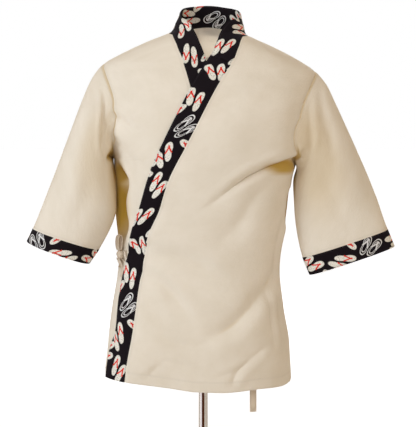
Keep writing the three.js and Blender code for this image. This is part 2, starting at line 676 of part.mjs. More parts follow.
const CLOTH_LOOK = { color: "#dccfb9", roughness: 0.9 };
const PRINT_LOOK = { color: "#14090f", roughness: 0.8 };
const TIE_LOOK = { color: "#c9b597", roughness: 0.9 };
const PIECES = {
  back_panel: [back(), CLOTH_LOOK],
  right_front_panel: [rightFront(), CLOTH_LOOK],
  left_front_panel: [leftFront(), CLOTH_LOOK],
  left_front_band: [bandPiece(overBody, overLayer, 0, LEFT_JOIN - 0.02), PRINT_LOOK],
  neck_band: [bandPiece(body, underLayer, LEFT_JOIN + 0.02, RIGHT_JOIN - 0.02), PRINT_LOOK],
  right_front_band: [bandPiece(body, underLayer, RIGHT_JOIN + 0.02, BAND_STOPS.length - 1), PRINT_LOOK],
  left_sleeve: [sleevePiece("left", SLEEVE_STATIONS, CLOTH), CLOTH_LOOK],
  right_sleeve: [sleevePiece("right", SLEEVE_STATIONS, CLOTH), CLOTH_LOOK],
  left_cuff_band: [sleevePiece("left", CUFF_STATIONS, CUFF_THICK), PRINT_LOOK],
  right_cuff_band: [sleevePiece("right", CUFF_STATIONS, CUFF_THICK), PRINT_LOOK],
  ...Object.fromEntries(Object.entries(TIE_RUNS).map(([name, run]) => [name, [tieRun(run), TIE_LOOK]])),
  tie_knot: [knot(), TIE_LOOK],
  bow_loop: [ribbon(BOW_LOOP.map(nearKnot), KNOT_FORE), TIE_LOOK],
  inner_tie: [innerTie(), TIE_LOOK],
  dress_form: [dressForm(), { color: "#cfc8bc", roughness: 0.7 }],
  pole: [pole(), { color: "#b9b4b0", roughness: 0.2, metalness: 1 }],
  base_plate: [basePlate(), { color: "#b9b4b0", roughness: 0.25, metalness: 1 }],
};

const part = new THREE.Group();
part.name = "wrap_jacket_on_form";
for (const [name, [geometry, look]] of Object.entries(PIECES)) {
  const mesh = new THREE.Mesh(geometry, new THREE.MeshStandardMaterial({ metalness: 0, ...look }));
  mesh.name = name;
  part.add(mesh);
}
export default part;
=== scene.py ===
"""A wrap jacket with a printed band and cuffs, tied at the waist of a limbless dress form on a short pole.

Every length in the tables is in millimetres, counted from a pivot on the pole; the finished meshes are in metres.
"""
import math

import bpy
import numpy as np
from bpy.props import FloatProperty, FloatVectorProperty, PointerProperty
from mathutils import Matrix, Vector


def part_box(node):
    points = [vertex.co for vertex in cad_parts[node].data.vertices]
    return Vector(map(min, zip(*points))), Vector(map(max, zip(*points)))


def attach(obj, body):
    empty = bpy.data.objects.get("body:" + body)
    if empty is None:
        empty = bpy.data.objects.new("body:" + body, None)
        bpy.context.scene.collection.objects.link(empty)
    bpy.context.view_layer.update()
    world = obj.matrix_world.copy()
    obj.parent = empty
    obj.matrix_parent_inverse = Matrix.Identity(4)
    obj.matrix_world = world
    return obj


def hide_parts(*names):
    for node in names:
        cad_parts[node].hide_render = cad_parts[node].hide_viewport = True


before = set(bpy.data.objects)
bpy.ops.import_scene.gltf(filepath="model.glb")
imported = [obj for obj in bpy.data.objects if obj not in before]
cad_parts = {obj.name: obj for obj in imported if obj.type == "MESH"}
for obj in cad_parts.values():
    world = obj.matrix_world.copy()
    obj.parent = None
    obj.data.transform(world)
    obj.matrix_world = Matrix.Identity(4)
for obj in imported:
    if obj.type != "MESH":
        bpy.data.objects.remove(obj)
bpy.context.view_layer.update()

bl_info = {
    "name": "Wrap Jacket on a Dress Form",
    "version": (1, 0, 0),
    "blender": (4, 5, 0),
    "location": "3D View > Sidebar > Jacket",
    "description": "Makes the jacket's panels, bands, sleeves and ties, the form that wears it and its stand",
    "category": "Object",
}

# Sizes shared with the solids
CLOTH, THIN, BAND_THICK = 2.0, 0.7, 2.4  # the outer face of a piece, its inner face, and a band's outer face
TIE_WIDTH, TIE_THICK = 14.0, 1.8
LAYER, DRAWN_IN = 3.6, 4.5  # how far the upper front stands out, and the cloth under the wrap draws in
PIVOT, LEAN = 580.0, math.radians(2.2)
HEM, VENT_TOP, ARMPIT, TIP, NECK, NAPE = -317.0, -217.0, 143.0, 340.0, 408.0, 428.0
POLE_R, BASE_R, BASE_THICK, BOSS_R, BOSS_TOP = 9.5, 150.0, 8.0, 19.0, 34.0
SOCKET_R, SOCKET_DEPTH, FORM_BOTTOM, FORM_FOOT = 10.2, 70.0, -262.0, -246.0
PI = math.pi

# Sizes of the meshes and materials alone; stitches are in metres
TURN_STEP, RISE_STEP = 0.002, 0.5  # how far apart points are taken to find a surface's slope
BACK_FROM = math.radians(95)  # folds count angles on from here, round the back
CALM_FROM, CALM_AT = 370, 400  # heights between which the folds fade into the neck
LOOSE_CORNER = (-6.0, -34.0, 0.0)  # how far the upper front's lower corner stands off the body
LOOSE_UP, LOOSE_ROUND = (-70, -300), (math.radians(-18), math.radians(-72))  # where it begins to, and does so fully
OVER_TOP, OVER_SIDE = (350, 398), (math.radians(57), math.radians(70))  # where the upper front settles on the body
UNDER_EDGES = math.radians(-17), math.radians(2)  # from where to where, about the edge, the cloth beneath draws in
UNDER_SIDE = math.radians(62), math.radians(80)  # and where that fades at the side
HEM_SLOPE = (-0.07, 1.19, 1.05, 19)  # the hem's even rise to the overlap: angle it starts at, span, share, height
HEM_STEPS = ((0.35, 0.96, 7), (1.15, 1.5, 7))  # its smooth rises to the left seam: from and to an angle, height
HEM_FRONT, HEM_FADE = math.radians(92), -190  # how far round the fronts' hem goes, and up to where its rise is felt
VENT_FRONT, VENT_BACK, SIDE_GAP = 5, -1, 0.0008  # degrees the vents open by at the hem; half the seams' gap, radians
PAINTED_SHADE_FROM, PAINTED_SHADE_FULL = 0.002, 0.010  # depths in metres between which the cloth's colour turns to the painted shade of a hollow
PAINTED_SHADE_REACH = 5  # how many points to each side a hollow's depth is counted over, for its painted shade
EDGE_BULGE = 0.35  # how far a rolled edge stands out, as a share of the cloth's thickness
STITCH_PITCH, HEM_DEPTH, TIE_STITCH, BAND_STITCH = 0.003, 0.015, 0.0018, 0.002

# Rings of the cloth and of the form: height, half width, front, back, middle across, middle along, squareness
RINGS = (
    (-332, 196, 130, 124, 0, 0, 2.4), (-317, 195, 129, 123, 0, 0, 2.4), (-230, 188, 123, 117, 0, 0, 2.4),
    (-154, 176, 115, 106, -4, 0, 2.35), (-60, 168, 108, 92, -5, 0, 2.3), (45, 179, 118, 100, -6, 0, 2.3),
    (110, 183, 124, 108, -5, 0, 2.35), (143, 187, 125, 112, -2, 0, 2.4), (170, 200, 125, 114, 0, 1, 2.4),
    (204, 213, 122, 115, 0, 2, 2.4), (238, 218, 118, 114, 0, 3, 2.4), (277, 221, 112, 110, 0, 5, 2.4),
    (310, 223, 105, 104, 0, 7, 2.35), (328, 222, 100, 98, 0, 8, 2.3), (340, 216, 97, 95, 0, 8, 2.3),
    (350, 201, 94, 92, 0, 9, 2.28), (370, 164, 88, 84, -1, 10, 2.25), (387, 128, 82, 76, -2, 11, 2.2),
    (402, 92, 75, 70, -3, 12, 2.1), (410, 76, 72, 68, -4, 12, 2.05), (428, 69, 68, 66, -3, 12, 2.0),
    (450, 62, 63, 62, -2, 12, 2.0), (480, 58, 59, 59, -2, 12, 2.0),
)
FORM = (
    (-262, 118, 64, 60, -2, 0, 2.3), (-258, 140, 84, 78, -2, 0, 2.3), (-246, 154, 96, 90, -2, 0, 2.3),
    (-154, 157, 97, 89, -3, 0, 2.3), (-60, 150, 91, 76, -4, 0, 2.3), (45, 163, 102, 86, -4, 0, 2.3),
    (143, 172, 111, 97, -2, 0, 2.35), (204, 192, 110, 103, 0, 2, 2.35), (238, 203, 108, 104, 0, 3, 2.35),
    (277, 211, 105, 102, 0, 5, 2.35), (310, 215.6, 100.1, 99.1, 0, 7, 2.33), (328, 217, 97.2, 95.2, 0, 8, 2.3),
    (340, 212.6, 95.2, 93.2, 0, 8, 2.3), (350, 198, 92.2, 90.2, 0, 9, 2.28), (370, 161, 86.3, 82.3, -1, 10, 2.25),
    (387, 125, 80.3, 74.3, -2, 11, 2.2), (402, 89, 73.3, 68.3, -3, 12, 2.1),
)
SCOOP = {"front": 296.0, "side": 398.0, "floor": 286.0}

# Seams between each front and its band: height and angle from the front centre, positive to the wearer's left
OVER_EDGE = (
    (-332, -54.5), (-317, -54.5), (-229, -54), (-156, -53.5), (-100, -53.4), (-38, -50.3), (42, -38.2),
    (147, -23.2), (219, -9.5), (290, 6.8), (354, 28.2), (378, 36), (401, 51.1), (408, 90),
)
UNDER_EDGE = (
    (-332, 38), (-317, 38), (-229, 39), (-156, 39.5), (-100, 38.5), (-38, 34), (42, 21),
    (147, 5.5), (219, -5.5), (295, -18.5), (332, -26.5), (364, -35), (399, -54.5), (408, -90),
)
BAND_WIDTHS = (
    (-317, 47), (-230, 46), (-150, 45), (-60, 41), (0, 39), (60, 40), (140, 43), (220, 45), (340, 45), (402, 45),
    (408, 48.5), (414, 51), (421, 48.5), (427, 45.5), (480, 45),
)
ARM_FRONT, ARM_BACK, ARM_SKEW, ARM_SCOOP = 72, 66, 0.12, {1: 0.5, -1: 0.1}  # reach and shape of the armholes

# Sections of the left and the right sleeve: share of its length, outer edge across and up, inner edge across and
# up, half depth and middle along
SLEEVES = {
    1: (
        (0.0, 216, 340, 185, 143, 69, 8), (0.02, 223, 335.5, 188, 146.5, 69, 7.5),
        (0.05, 231, 327, 191.5, 146, 68.5, 7), (0.08, 238, 318, 192.5, 142.5, 68, 6),
        (0.2, 262, 275, 191, 134, 64, 2), (0.4, 306, 191, 187, 109, 54, -6), (0.65, 350, 95, 191, 50, 43, -14),
        (0.9, 382, 19, 211, -45, 34, -20), (1.0, 398, -17, 227, -82, 32, -22),
    ),
    -1: (
        (0.0, -216, 340, -189, 143, 69, 8), (0.02, -223, 334.5, -192, 146.5, 69, 7),
        (0.05, -231, 324, -195.5, 146, 68.5, 4), (0.08, -237, 313, -196, 142.5, 68, 0),
        (0.2, -255, 265, -193, 134, 64, -22), (0.4, -284, 178, -187, 105, 60, -46),
        (0.65, -314, 85, -182, 44, 57, -60), (0.9, -346, -3, -213, -40, 55, -62),
        (1.0, -358, -31, -232, -71, 55, -62),
    ),
}
SLEEVE_SQUARE, CUFF_FROM = 2.3, 0.905
CROWN_CALM, CUFF_CALM = (0.02, 0.12), (1.0, 0.85)  # where a sleeve's folds fade in, and its ripple fades out
SLEEVE_LENGTH, SLEEVE_REACH, FOLD_REACH = 400.0, 62.0, 170.0  # size and radii of the flattened surfaces of folds
RIDGE_AT, TROUGH_AT, TROUGH_WIDE = 0.75, -0.55, 0.75  # across a fold, in its half widths

# Folds of the body: the line as angle and height pairs, half width, height of the ridge on its left, depth of the
# trough on its right, and how far from each end it fades, as a share of its length
BODY_FOLDS = (
    (((-8, 46), (15, 80), (32, 117), (42, 134), (52, 149), (63, 158), (72, 163), (86, 161)),
     12, 3.5, 11.0, 0.6, 0.01),
    (((89, 104), (90, 60), (91, 10)), 26, 0.0, 8.0, 0.3, 0.3),
    (((74, 128), (60, 104), (48, 70), (40, 20), (36, -40)), 26, 2.0, 4.0, 0.2, 0.5),
    (((66, 66), (44, 18), (20, -30), (-6, -60)), 32, 2.0, 3.0, 0.3, 0.5),
    (((76, -80), (68, -104), (57, -134), (46, -166), (34, -194), (14, -218), (-14, -230)), 22, 5.5, 8.5, 0.12, 0.5),
    (((60, -214), (54, -236), (45, -256), (36, -276), (30, -310)), 11, 2.6, 3.4, 0.3, 0.15),
    (((-46, -312), (-40, -285), (-28, -249)), 12, 1.8, 2.4, 0.3, 0.5),
    (((-44, -196), (-24, -214), (2, -222), (24, -216)), 10, 1.4, 1.8, 0.3, 0.5),
    (((-40, -250), (-12, -262), (16, -266)), 9, 1.2, 1.6, 0.3, 0.5),
    (((10, -286), (30, -272), (52, -250)), 8, 1.4, 1.8, 0.3, 0.5),
    (((62, -96), (64, -143), (64, -206), (60, -262)), 9, 3.5, 3.5, 0.3, 0.4),
    (((80, 60), (76, 0), (74, -60), (76, -120)), 15, 3.0, 4.0, 0.3, 0.4),
    (((-58, -40), (-30, -28), (4, -50), (44, -104)), 24, 3.0, 4.5, 0.1, 0.45),
    (((-56, -66), (-34, -90), (-8, -150), (4, -200)), 18, 2.6, 4.0, 0.05, 0.6),
    (((-48, -120), (-30, -170), (-18, -240)), 24, 1.5, 2.5, 0.2, 0.5),
    (((40, 280), (20, 240), (-2, 180)), 30, 2.0, 2.0, 0.4, 0.5),
    (((66, 300), (52, 262), (30, 236)), 20, 1.5, 2.2, 0.1, 0.6),
    (((-76, 140), (-66, 118), (-61, 98), (-66, 64), (-66, 38), (-64, 12), (-68, -14), (-76, -44)),
     15, 4.0, 15.0, 0.1, 0.25),
    (((-72, 240), (-66, 236), (-60, 224), (-48, 196)), 10, 3.5, 4.5, 0.03, 0.6),
    (((-72, 196), (-62, 170), (-54, 130), (-52, 80)), 12, 2.5, 4.0, 0.03, 0.6),
    (((-64, -36), (-52, 4), (-38, 50), (-30, 90)), 14, 2.5, 3.5, 0.05, 0.5),
    (((-66, -44), (-50, -24), (-34, -6)), 10, 2.0, 2.5, 0.02, 0.6),
    (((-72, -62), (-70, -130), (-66, -200), (-62, -270)), 13, 4.0, 5.0, 0.03, 0.4),
    (((256, 150), (244, 128), (228, 96), (206, 40)), 17, 5.5, 6.5, 0.04, 0.6),
    (((104, 150), (116, 128), (132, 96), (154, 40)), 17, 5.5, 6.5, 0.04, 0.6),
    (((264, 30), (240, -6), (212, -60), (190, -120)), 18, 4.0, 5.0, 0.1, 0.5),
    (((96, 20), (118, -10), (146, -62), (170, -118)), 18, 4.0, 5.0, 0.1, 0.5),
    (((268, -60), (246, -86), (214, -104), (180, -98)), 14, 3.5, 4.5, 0.04, 0.5),
    (((92, -60), (112, -86), (140, -98)), 14, 3.5, 4.5, 0.04, 0.6),
    (((228, -140), (224, -220), (220, -305)), 18, 4.5, 4.5, 0.4, 0.1),
    (((150, -150), (152, -230), (155, -308)), 18, 4.0, 4.5, 0.4, 0.1),
    (((192, -170), (190, -240), (187, -312)), 16, 3.0, 3.5, 0.4, 0.1),
    (((200, 330), (196, 260), (186, 200)), 18, 2.5, 2.5, 0.4, 0.5),
    (((150, 340), (160, 290), (166, 220)), 16, 2.2, 2.5, 0.4, 0.5),
)
# The same for each sleeve, as turn round it and share of its length
SLEEVE_FOLDS = {
    1: (
        (((35, 0.03), (48, 0.12), (62, 0.26), (70, 0.5)), 13, 1.6, 2.2, 0.15, 0.5),
        (((66, 0.02), (78, 0.1), (96, 0.2), (118, 0.3)), 12, 2.0, 3.0, 0.1, 0.4),
        (((150, 0.03), (128, 0.1), (112, 0.22)), 8, 3.0, 5.0, 0.05, 0.5),
        (((100, 0.42), (84, 0.6), (78, 0.84)), 16, 1.5, 2.0, 0.3, 0.4),
        (((28, 0.4), (24, 0.62), (30, 0.86)), 16, 1.5, 1.5, 0.3, 0.4),
        (((322, 0.04), (300, 0.16), (284, 0.34)), 12, 3.0, 3.5, 0.1, 0.6),
        (((222, 0.03), (246, 0.12), (262, 0.3)), 11, 3.0, 4.0, 0.1, 0.5),
        (((250, 0.4), (268, 0.6), (272, 0.86)), 16, 1.5, 2.0, 0.3, 0.4),
    ),
    -1: (
        (((52, 0.04), (84, 0.12), (112, 0.26), (136, 0.42)), 10, 3.5, 5.0, 0.1, 0.5),
        (((158, 0.03), (143, 0.1), (131, 0.22), (126, 0.36)), 12, 3.5, 7.0, 0.1, 0.5),
        (((40, 0.3), (46, 0.55), (44, 0.86)), 20, 1.5, 1.5, 0.3, 0.4),
        (((96, 0.45), (88, 0.65), (86, 0.86)), 18, 1.5, 2.0, 0.3, 0.3),
        (((322, 0.04), (300, 0.16), (284, 0.34)), 12, 3.0, 3.5, 0.1, 0.6),
        (((222, 0.03), (246, 0.12), (262, 0.3)), 11, 3.0, 4.0, 0.1, 0.5),
        (((240, 0.4), (256, 0.6), (262, 0.86)), 18, 1.5, 2.0, 0.3, 0.4),
    ),
}

# Slow waves of the body's cloth: length round it and up it, phase and height
CRUMPLES = ((41, 67, 0.3, 0.5), (-73, 53, 1.9, 0.6), (97, -121, 4.1, 0.7), (151, 88, 2.2, 0.6))

# Where cloth beside cloth warms the shade, painted into the cloth's colour: each patch's place, half width, half
# height and strength
BODY_SHADES = (
    (66, 141, 24, 20, 0.95), (85, 153, 13, 14, 1.0), (90, 80, 14, 90, 0.7), (-78, 50, 21, 110, 1.0),
    (-86, 130, 18, 50, 0.8), (-74, 112, 13, 42, 0.95), (270, 80, 24, 110, 0.6), (100, 80, 20, 110, 0.6),
)
SLEEVE_SHADES = {
    1: ((180, 0.2, 30, 0.5, 1.0), (150, 0.05, 36, 0.09, 0.8), (110, 0.3, 70, 0.6, 0.3), (80, 0, 130, 0.022, 0.45)),
    -1: ((180, 0.2, 34, 0.5, 1.0), (180, 0.36, 62, 0.6, 0.55), (150, 0.12, 34, 0.2, 0.9), (110, 0.3, 60, 0.5, 0.2),
         (80, 0, 130, 0.022, 0.45)),
}

# Ties: runs along the cloth as angle, height and distance out, and the bow's loop counted from the knot
KNOT = (math.radians(-72.5), -52.0, 10.4)
TIE_RUNS = {
    "front_waist_tie": ((-67.8, -50, 5.8), (-68.9, -50.5, 7.2)),
    "side_waist_tie": ((-89, -44, 3.7), (-84, -46, 4.2), (-79.6, -48, 5.5), (-76.6, -50, 7.6)),
    "short_tail": ((-73.5, -61.3, 12.8), (-74.5, -67, 11.6), (-76.5, -76, 10)),
    "long_tail": ((-72, -61.3, 7.4), (-72.8, -70, 5.4), (-74, -86, 4.4), (-75, -101, 4.1)),
}
BOW_LOOP = (
    (0, 9.5, 1), (-1, 18, -1.5), (-1.5, 28, -2.5), (-2, 36, -1.5), (-2, 39.5, 1.5), (-2, 37, 5),
    (-1.5, 28, 7), (-1, 18, 6.5), (0, 9.5, 4.5),
)
INNER_DROPS = ((-42, 83.3), (-60, 79.5), (-90, 79.5), (-180, 80), (-230, 84), (-260, 88), (-366, 90))


def curve_through(rows, column=1):
    """The smooth curve without overshoot through one column of a table, against its first column."""
    xs = np.array([row[0] for row in rows], float)
    ys = np.array([row[column] for row in rows], float)
    step = np.diff(xs)
    slope = np.diff(ys) / step
    tangent = np.zeros(len(xs))
    tangent[0], tangent[-1] = slope[0], slope[-1]
    for i in range(1, len(xs) - 1):
        if slope[i - 1] * slope[i] > 0:
            w1, w2 = 2 * step[i] + step[i - 1], step[i] + 2 * step[i - 1]
            tangent[i] = (w1 + w2) / (w1 / slope[i - 1] + w2 / slope[i])

    def at(x):
        x = np.asarray(x, float)
        i = np.clip(np.searchsorted(xs, x) - 1, 0, len(step) - 1)
        t = np.clip((x - xs[i]) / step[i], 0, 1)
        u = 1 - t
        ends = ys[i] * (1 + 2 * t) * u * u + ys[i + 1] * t * t * (3 - 2 * t)
        return ends + step[i] * t * u * (tangent[i] * u - tangent[i + 1] * t)

    return at


def smooth(start, end, x):
    """0 at the start and 1 at the end, with no slope at either."""
    t = np.clip((x - start) / (end - start), 0, 1)
    return t * t * (3 - 2 * t)


def ring_surface(rings):
    """A table of rings as a function from angle and height to points."""
    half, front, back, mid_x, mid_y, square = (curve_through(rings, k) for k in range(1, 7))

    def at(angle, h):
        s, c, n = np.sin(angle), np.cos(angle), square(h)
        depth = np.where(c > 0, front(h), back(h))
        r = ((np.abs(s) / half(h)) ** n + (np.abs(c) / depth) ** n) ** (-1 / n)
        return np.stack([mid_x(h) + r * s, mid_y(h) - r * c, h + 0 * r], -1)

    at.half, at.front, at.back, at.mid_y, at.square = half, front, back, mid_y, square
    return at


plain_body = ring_surface(RINGS)
form_surface = ring_surface(FORM)
over_edge = curve_through(OVER_EDGE)
under_edge = curve_through(UNDER_EDGE)
band_width = curve_through(BAND_WIDTHS)


def unit(v):
    return v / np.linalg.norm(v, axis=-1, keepdims=True)


def slopes(surface, angle, h):
    """Steps along a surface, one turn step and one rise step to either side of each point."""
    across = surface(angle + TURN_STEP, h) - surface(angle - TURN_STEP, h)
    return across, surface(angle, h + RISE_STEP) - surface(angle, h - RISE_STEP)


def normal_of(surface, angle, h):
    return unit(np.cross(*slopes(surface, angle, h)))


def shade_at(rows, angle, height):
    """The strongest of the soft patches of shade at each point."""
    shade = np.zeros(np.shape(angle))
    for at, up, wide, high, strength in rows:
        away = np.sqrt(((angle - at) / wide) ** 2 + ((height - up) / high) ** 2)
        shade = np.maximum(shade, strength * smooth(1.0, 0.35, away))
    return shade


def rounded_line(points, scale):
    """Corner cutting, which turns a short polyline into a smooth one with the same ends."""
    line = np.array(points, float) * scale
    for _ in range(2):
        cut = np.empty((2 * len(line) - 2, 2))
        cut[0::2] = 0.75 * line[:-1] + 0.25 * line[1:]
        cut[1::2] = 0.25 * line[:-1] + 0.75 * line[1:]
        line = np.vstack([line[:1], cut, line[-1:]])
    return line


def fold_heights(rows, points, scale):
    """The folds' heights at points of the flattened surface."""
    flat = points.reshape(-1, 2)
    total = np.zeros(len(flat))
    for corners, width, ridge, trough, fade_in, fade_out in rows:
        line = rounded_line(corners, scale)
        reach = 4 * width
        near = np.all((flat > line.min(0) - reach) & (flat < line.max(0) + reach), axis=1)
        if not near.any():
            continue
        close = flat[near]
        ahead = np.diff(line, axis=0)
        lengths = np.linalg.norm(ahead, axis=1)
        starts = np.concatenate([[0], np.cumsum(lengths)[:-1]])
        nearest = np.full(len(close), 1e9)
        side, along = np.zeros(len(close)), np.zeros(len(close))
        for start, length, a, d in zip(starts, lengths, line, ahead):
            off = close - a
            t = np.clip(off @ d / (d @ d), 0, 1)
            distance = np.linalg.norm(off - t[:, None] * d, axis=1)
            closer = distance < nearest
            nearest = np.where(closer, distance, nearest)
            side = np.where(closer, np.sign(d[0] * off[:, 1] - d[1] * off[:, 0]), side)
            along = np.where(closer, (start + t * length) / lengths.sum(), along)
        across = nearest * side / width
        shape = ridge * np.exp(-(across - RIDGE_AT) ** 2)
        shape -= trough * np.exp(-((across - TROUGH_AT) / TROUGH_WIDE) ** 2)
        strength = smooth(0, fade_in, along) * (1 - smooth(1 - fade_out, 1, along))
        total[near] += shape * strength * np.exp(-((nearest / (3.5 * width)) ** 4))
    return total.reshape(points.shape[:-1])


def hem_rise(angle):
    """How far the hem of the fronts rises off the level toward the edges and the side seams."""
    start, span, share, height = HEM_SLOPE
    rise = height * np.minimum(np.maximum(start - angle, 0) / span, share)
    for start, end, height in HEM_STEPS:
        rise = rise + height * smooth(start, end, angle)
    return np.where(np.abs(angle) > HEM_FRONT, 0, rise)


def crumple(angle, h):
    """Slow unevenness that keeps the cloth from looking drawn with a compass."""
    a = angle * FOLD_REACH
    return sum(size * np.sin(a / wa * 2 + h / wb * 2 + phase) for wa, wb, phase, size in CRUMPLES)


def body(angle, h):
    """The cloth's surface with its folds, from the angle round from the front and the height."""
    turn = np.mod(angle + BACK_FROM, 2 * PI) - BACK_FROM
    flat = np.stack([turn * FOLD_REACH, h + 0 * turn], -1)
    depth = fold_heights(BODY_FOLDS, flat, (math.radians(FOLD_REACH), 1))
    depth = (depth + crumple(turn, h)) * smooth(CALM_AT, CALM_FROM, h) * bpy.context.scene.jacket_sizes.fold_strength
    p = plain_body(angle, h) + normal_of(plain_body, angle, h) * depth[..., None]
    p[..., 2] += hem_rise(turn) * smooth(HEM_FADE, HEM, h)
    return p


def over_body(angle, h):
    """The surface of the upper front, whose loose lower edge stands forward."""
    free = smooth(*LOOSE_UP, h) * smooth(*LOOSE_ROUND, angle)
    return body(angle, h) + free[..., None] * np.array(LOOSE_CORNER)


def under_lift(angle, h):
    """How far the cloth beneath the upper front is drawn in."""
    edge = np.radians(over_edge(h))
    turn = np.where(angle > math.radians(200), angle - 2 * PI, angle)
    drawn = smooth(edge + UNDER_EDGES[0], edge + UNDER_EDGES[1], turn)
    return -DRAWN_IN * drawn * (1 - smooth(*UNDER_SIDE, turn))


def over_lift(angle, h):
    """How far the upper front stands out, down to nothing at the shoulder and the side seam."""
    return LAYER * (1 - smooth(*OVER_TOP, h)) * (1 - smooth(*OVER_SIDE, angle))


def faces_of_layer(surface, lift, angle, h, thick):
    """The outer and inner face of a piece of one layer, over a grid of angles and heights."""
    base, away, lifted = surface(angle, h), normal_of(surface, angle, h), lift(angle, h)
    return (base + away * (lifted + out)[..., None] for out in (thick, THIN))


def stand_up(p):
    """From the garment's own frame, in millimetres, to the part's, in metres, leaning on the pole."""
    x, y, z = np.moveaxis(np.asarray(p, float), -1, 0)
    c, s = math.cos(LEAN), math.sin(LEAN)
    return np.stack([x * c + z * s, y, PIVOT - x * s + z * c], -1) / 1000


def armhole(side, turn):
    """Angle and height of the armhole's line, by the turn round it from the shoulder's tip."""
    h = (TIP + ARMPIT) / 2 + (TIP - ARMPIT) / 2 * np.cos(turn)
    s = np.sin(turn)
    hollow = np.where(s > 0, ARM_SCOOP[side] * s * np.maximum(-np.cos(turn), 0), 0)
    y = -np.where(s > 0, ARM_FRONT, ARM_BACK) * s * (1 - ARM_SKEW * np.cos(turn) + hollow)
    n = plain_body.square(h)
    depth = np.where(s > 0, plain_body.front(h), plain_body.back(h))
    x = side * plain_body.half(h) * (1 - np.abs(y / depth) ** n) ** (1 / n)
    return np.arctan2(x, -y), h


def side_angle(side, front, h):
    """Where a front or the back ends: side seam, armhole, then shoulder seam."""
    way = side * (-1 if front else 1)
    vent = smooth(VENT_TOP, HEM, h) * math.radians(VENT_FRONT if front else VENT_BACK)
    seam = side * PI / 2 + way * (SIDE_GAP + vent)
    turn = np.arccos(np.clip((2 * h - TIP - ARMPIT) / (TIP - ARMPIT), -1, 1))
    return np.where((h <= ARMPIT) | (h >= TIP), seam, armhole(side, turn if front else -turn)[0])


# Rows and stops of the grids
ARM_TURNS = np.linspace(PI, 0, 49)
LOW_ROWS = np.linspace(HEM, ARMPIT, 93)
ARM_ROWS = (TIP + ARMPIT) / 2 + (TIP - ARMPIT) / 2 * np.cos(ARM_TURNS[1:])
SHOULDER_ROWS = np.concatenate([np.linspace(345, 395, 11), np.linspace(397, 407.6, 19)])
NECK_ANGLES = np.radians(np.linspace(91.5, 178.5, 30))
NECKLINE_ROWS = NECK + (NAPE - NECK) * (1 - np.cos(2 * (NECK_ANGLES - PI / 2))) / 2
PANEL_ROWS = np.concatenate([LOW_ROWS, ARM_ROWS, SHOULDER_ROWS])


def panel_grid(start, end, columns):
    """The angles of a panel's grid, a row for each height, with the ends given by row."""
    share = np.linspace(0, 1, columns + 1)
    return start[:, None] * (1 - share) + end[:, None] * share


def neckline_angle(h):
    """Where the neckline crosses a height behind the neck, on the left."""
    return PI / 2 + np.arccos(1 - 2 * np.clip((h - NECK) / (NAPE - NECK), 0, 1)) / 2


def band_stops():
    """The seam line of the whole band, down its left end round to its right, and its stops at the shoulders."""
    left = np.stack([np.radians(over_edge(PANEL_ROWS)), PANEL_ROWS], -1)
    neck = np.stack([NECK_ANGLES, NECKLINE_ROWS], -1)
    join = np.array([[PI / 2, NECK]])
    far = lambda rows: np.stack([2 * PI - rows[:, 0], rows[:, 1]], -1)[::-1]
    right = np.stack([2 * PI + np.radians(under_edge(PANEL_ROWS)), PANEL_ROWS], -1)[::-1]
    stops = np.vstack([left, join, neck, [[PI, NAPE]], far(neck), far(join), right])
    return stops, len(left), len(stops) - 1 - len(right)


STOPS, LEFT_JOIN, RIGHT_JOIN = band_stops()
BAND_ACROSS, SEAM_GAP = 12, 0.15  # strips across the band, and its distance from the seam line
SLEEVE_TURNS = np.concatenate([ARM_TURNS, -ARM_TURNS[1:-1][::-1]])  # round from the underarm seam by the front


def band_grid(surface, first, last):
    """Angles and heights over a stretch of the band, its width laid off square to the seam line."""
    t = np.concatenate([[first], np.arange(math.ceil(first + 0.01), math.floor(last - 0.01) + 1), [last]])
    at = lambda t: np.stack([np.interp(t, range(len(STOPS)), STOPS[:, k]) for k in (0, 1)], -1)
    here, after, before = at(t), at(np.minimum(t + 1, len(STOPS) - 1)), at(np.maximum(t - 1, 0))
    run = surface(after[:, 0], after[:, 1]) - surface(before[:, 0], before[:, 1])
    angle, h = here[:, 0].copy(), here[:, 1].copy()
    level = h == HEM
    rows = []

    def advance(length):
        nonlocal angle, h
        across, up = slopes(surface, angle, h)
        across /= 2 * TURN_STEP
        way = unit(np.cross(np.cross(across, up), run))
        dot = lambda a, b: (a * b).sum(-1)
        aa, ab, bb, wa, wb = dot(across, across), dot(across, up), dot(up, up), dot(way, across), dot(way, up)
        det = aa * bb - ab * ab
        straight = np.sign(wa) * length / np.sqrt(aa)
        angle = angle + np.where(level, straight, (wa * bb - wb * ab) / det * length)
        h = np.where(level, HEM, np.maximum(h + (wb * aa - wa * ab) / det * length, HEM))

    advance(SEAM_GAP)
    for _ in range(BAND_ACROSS):
        rows.append((angle, h))
        advance((band_width(here[:, 1]) - SEAM_GAP) / BAND_ACROSS)
    rows.append((angle, h))
    return np.stack([a for a, _ in rows], 1), np.stack([b for _, b in rows], 1)


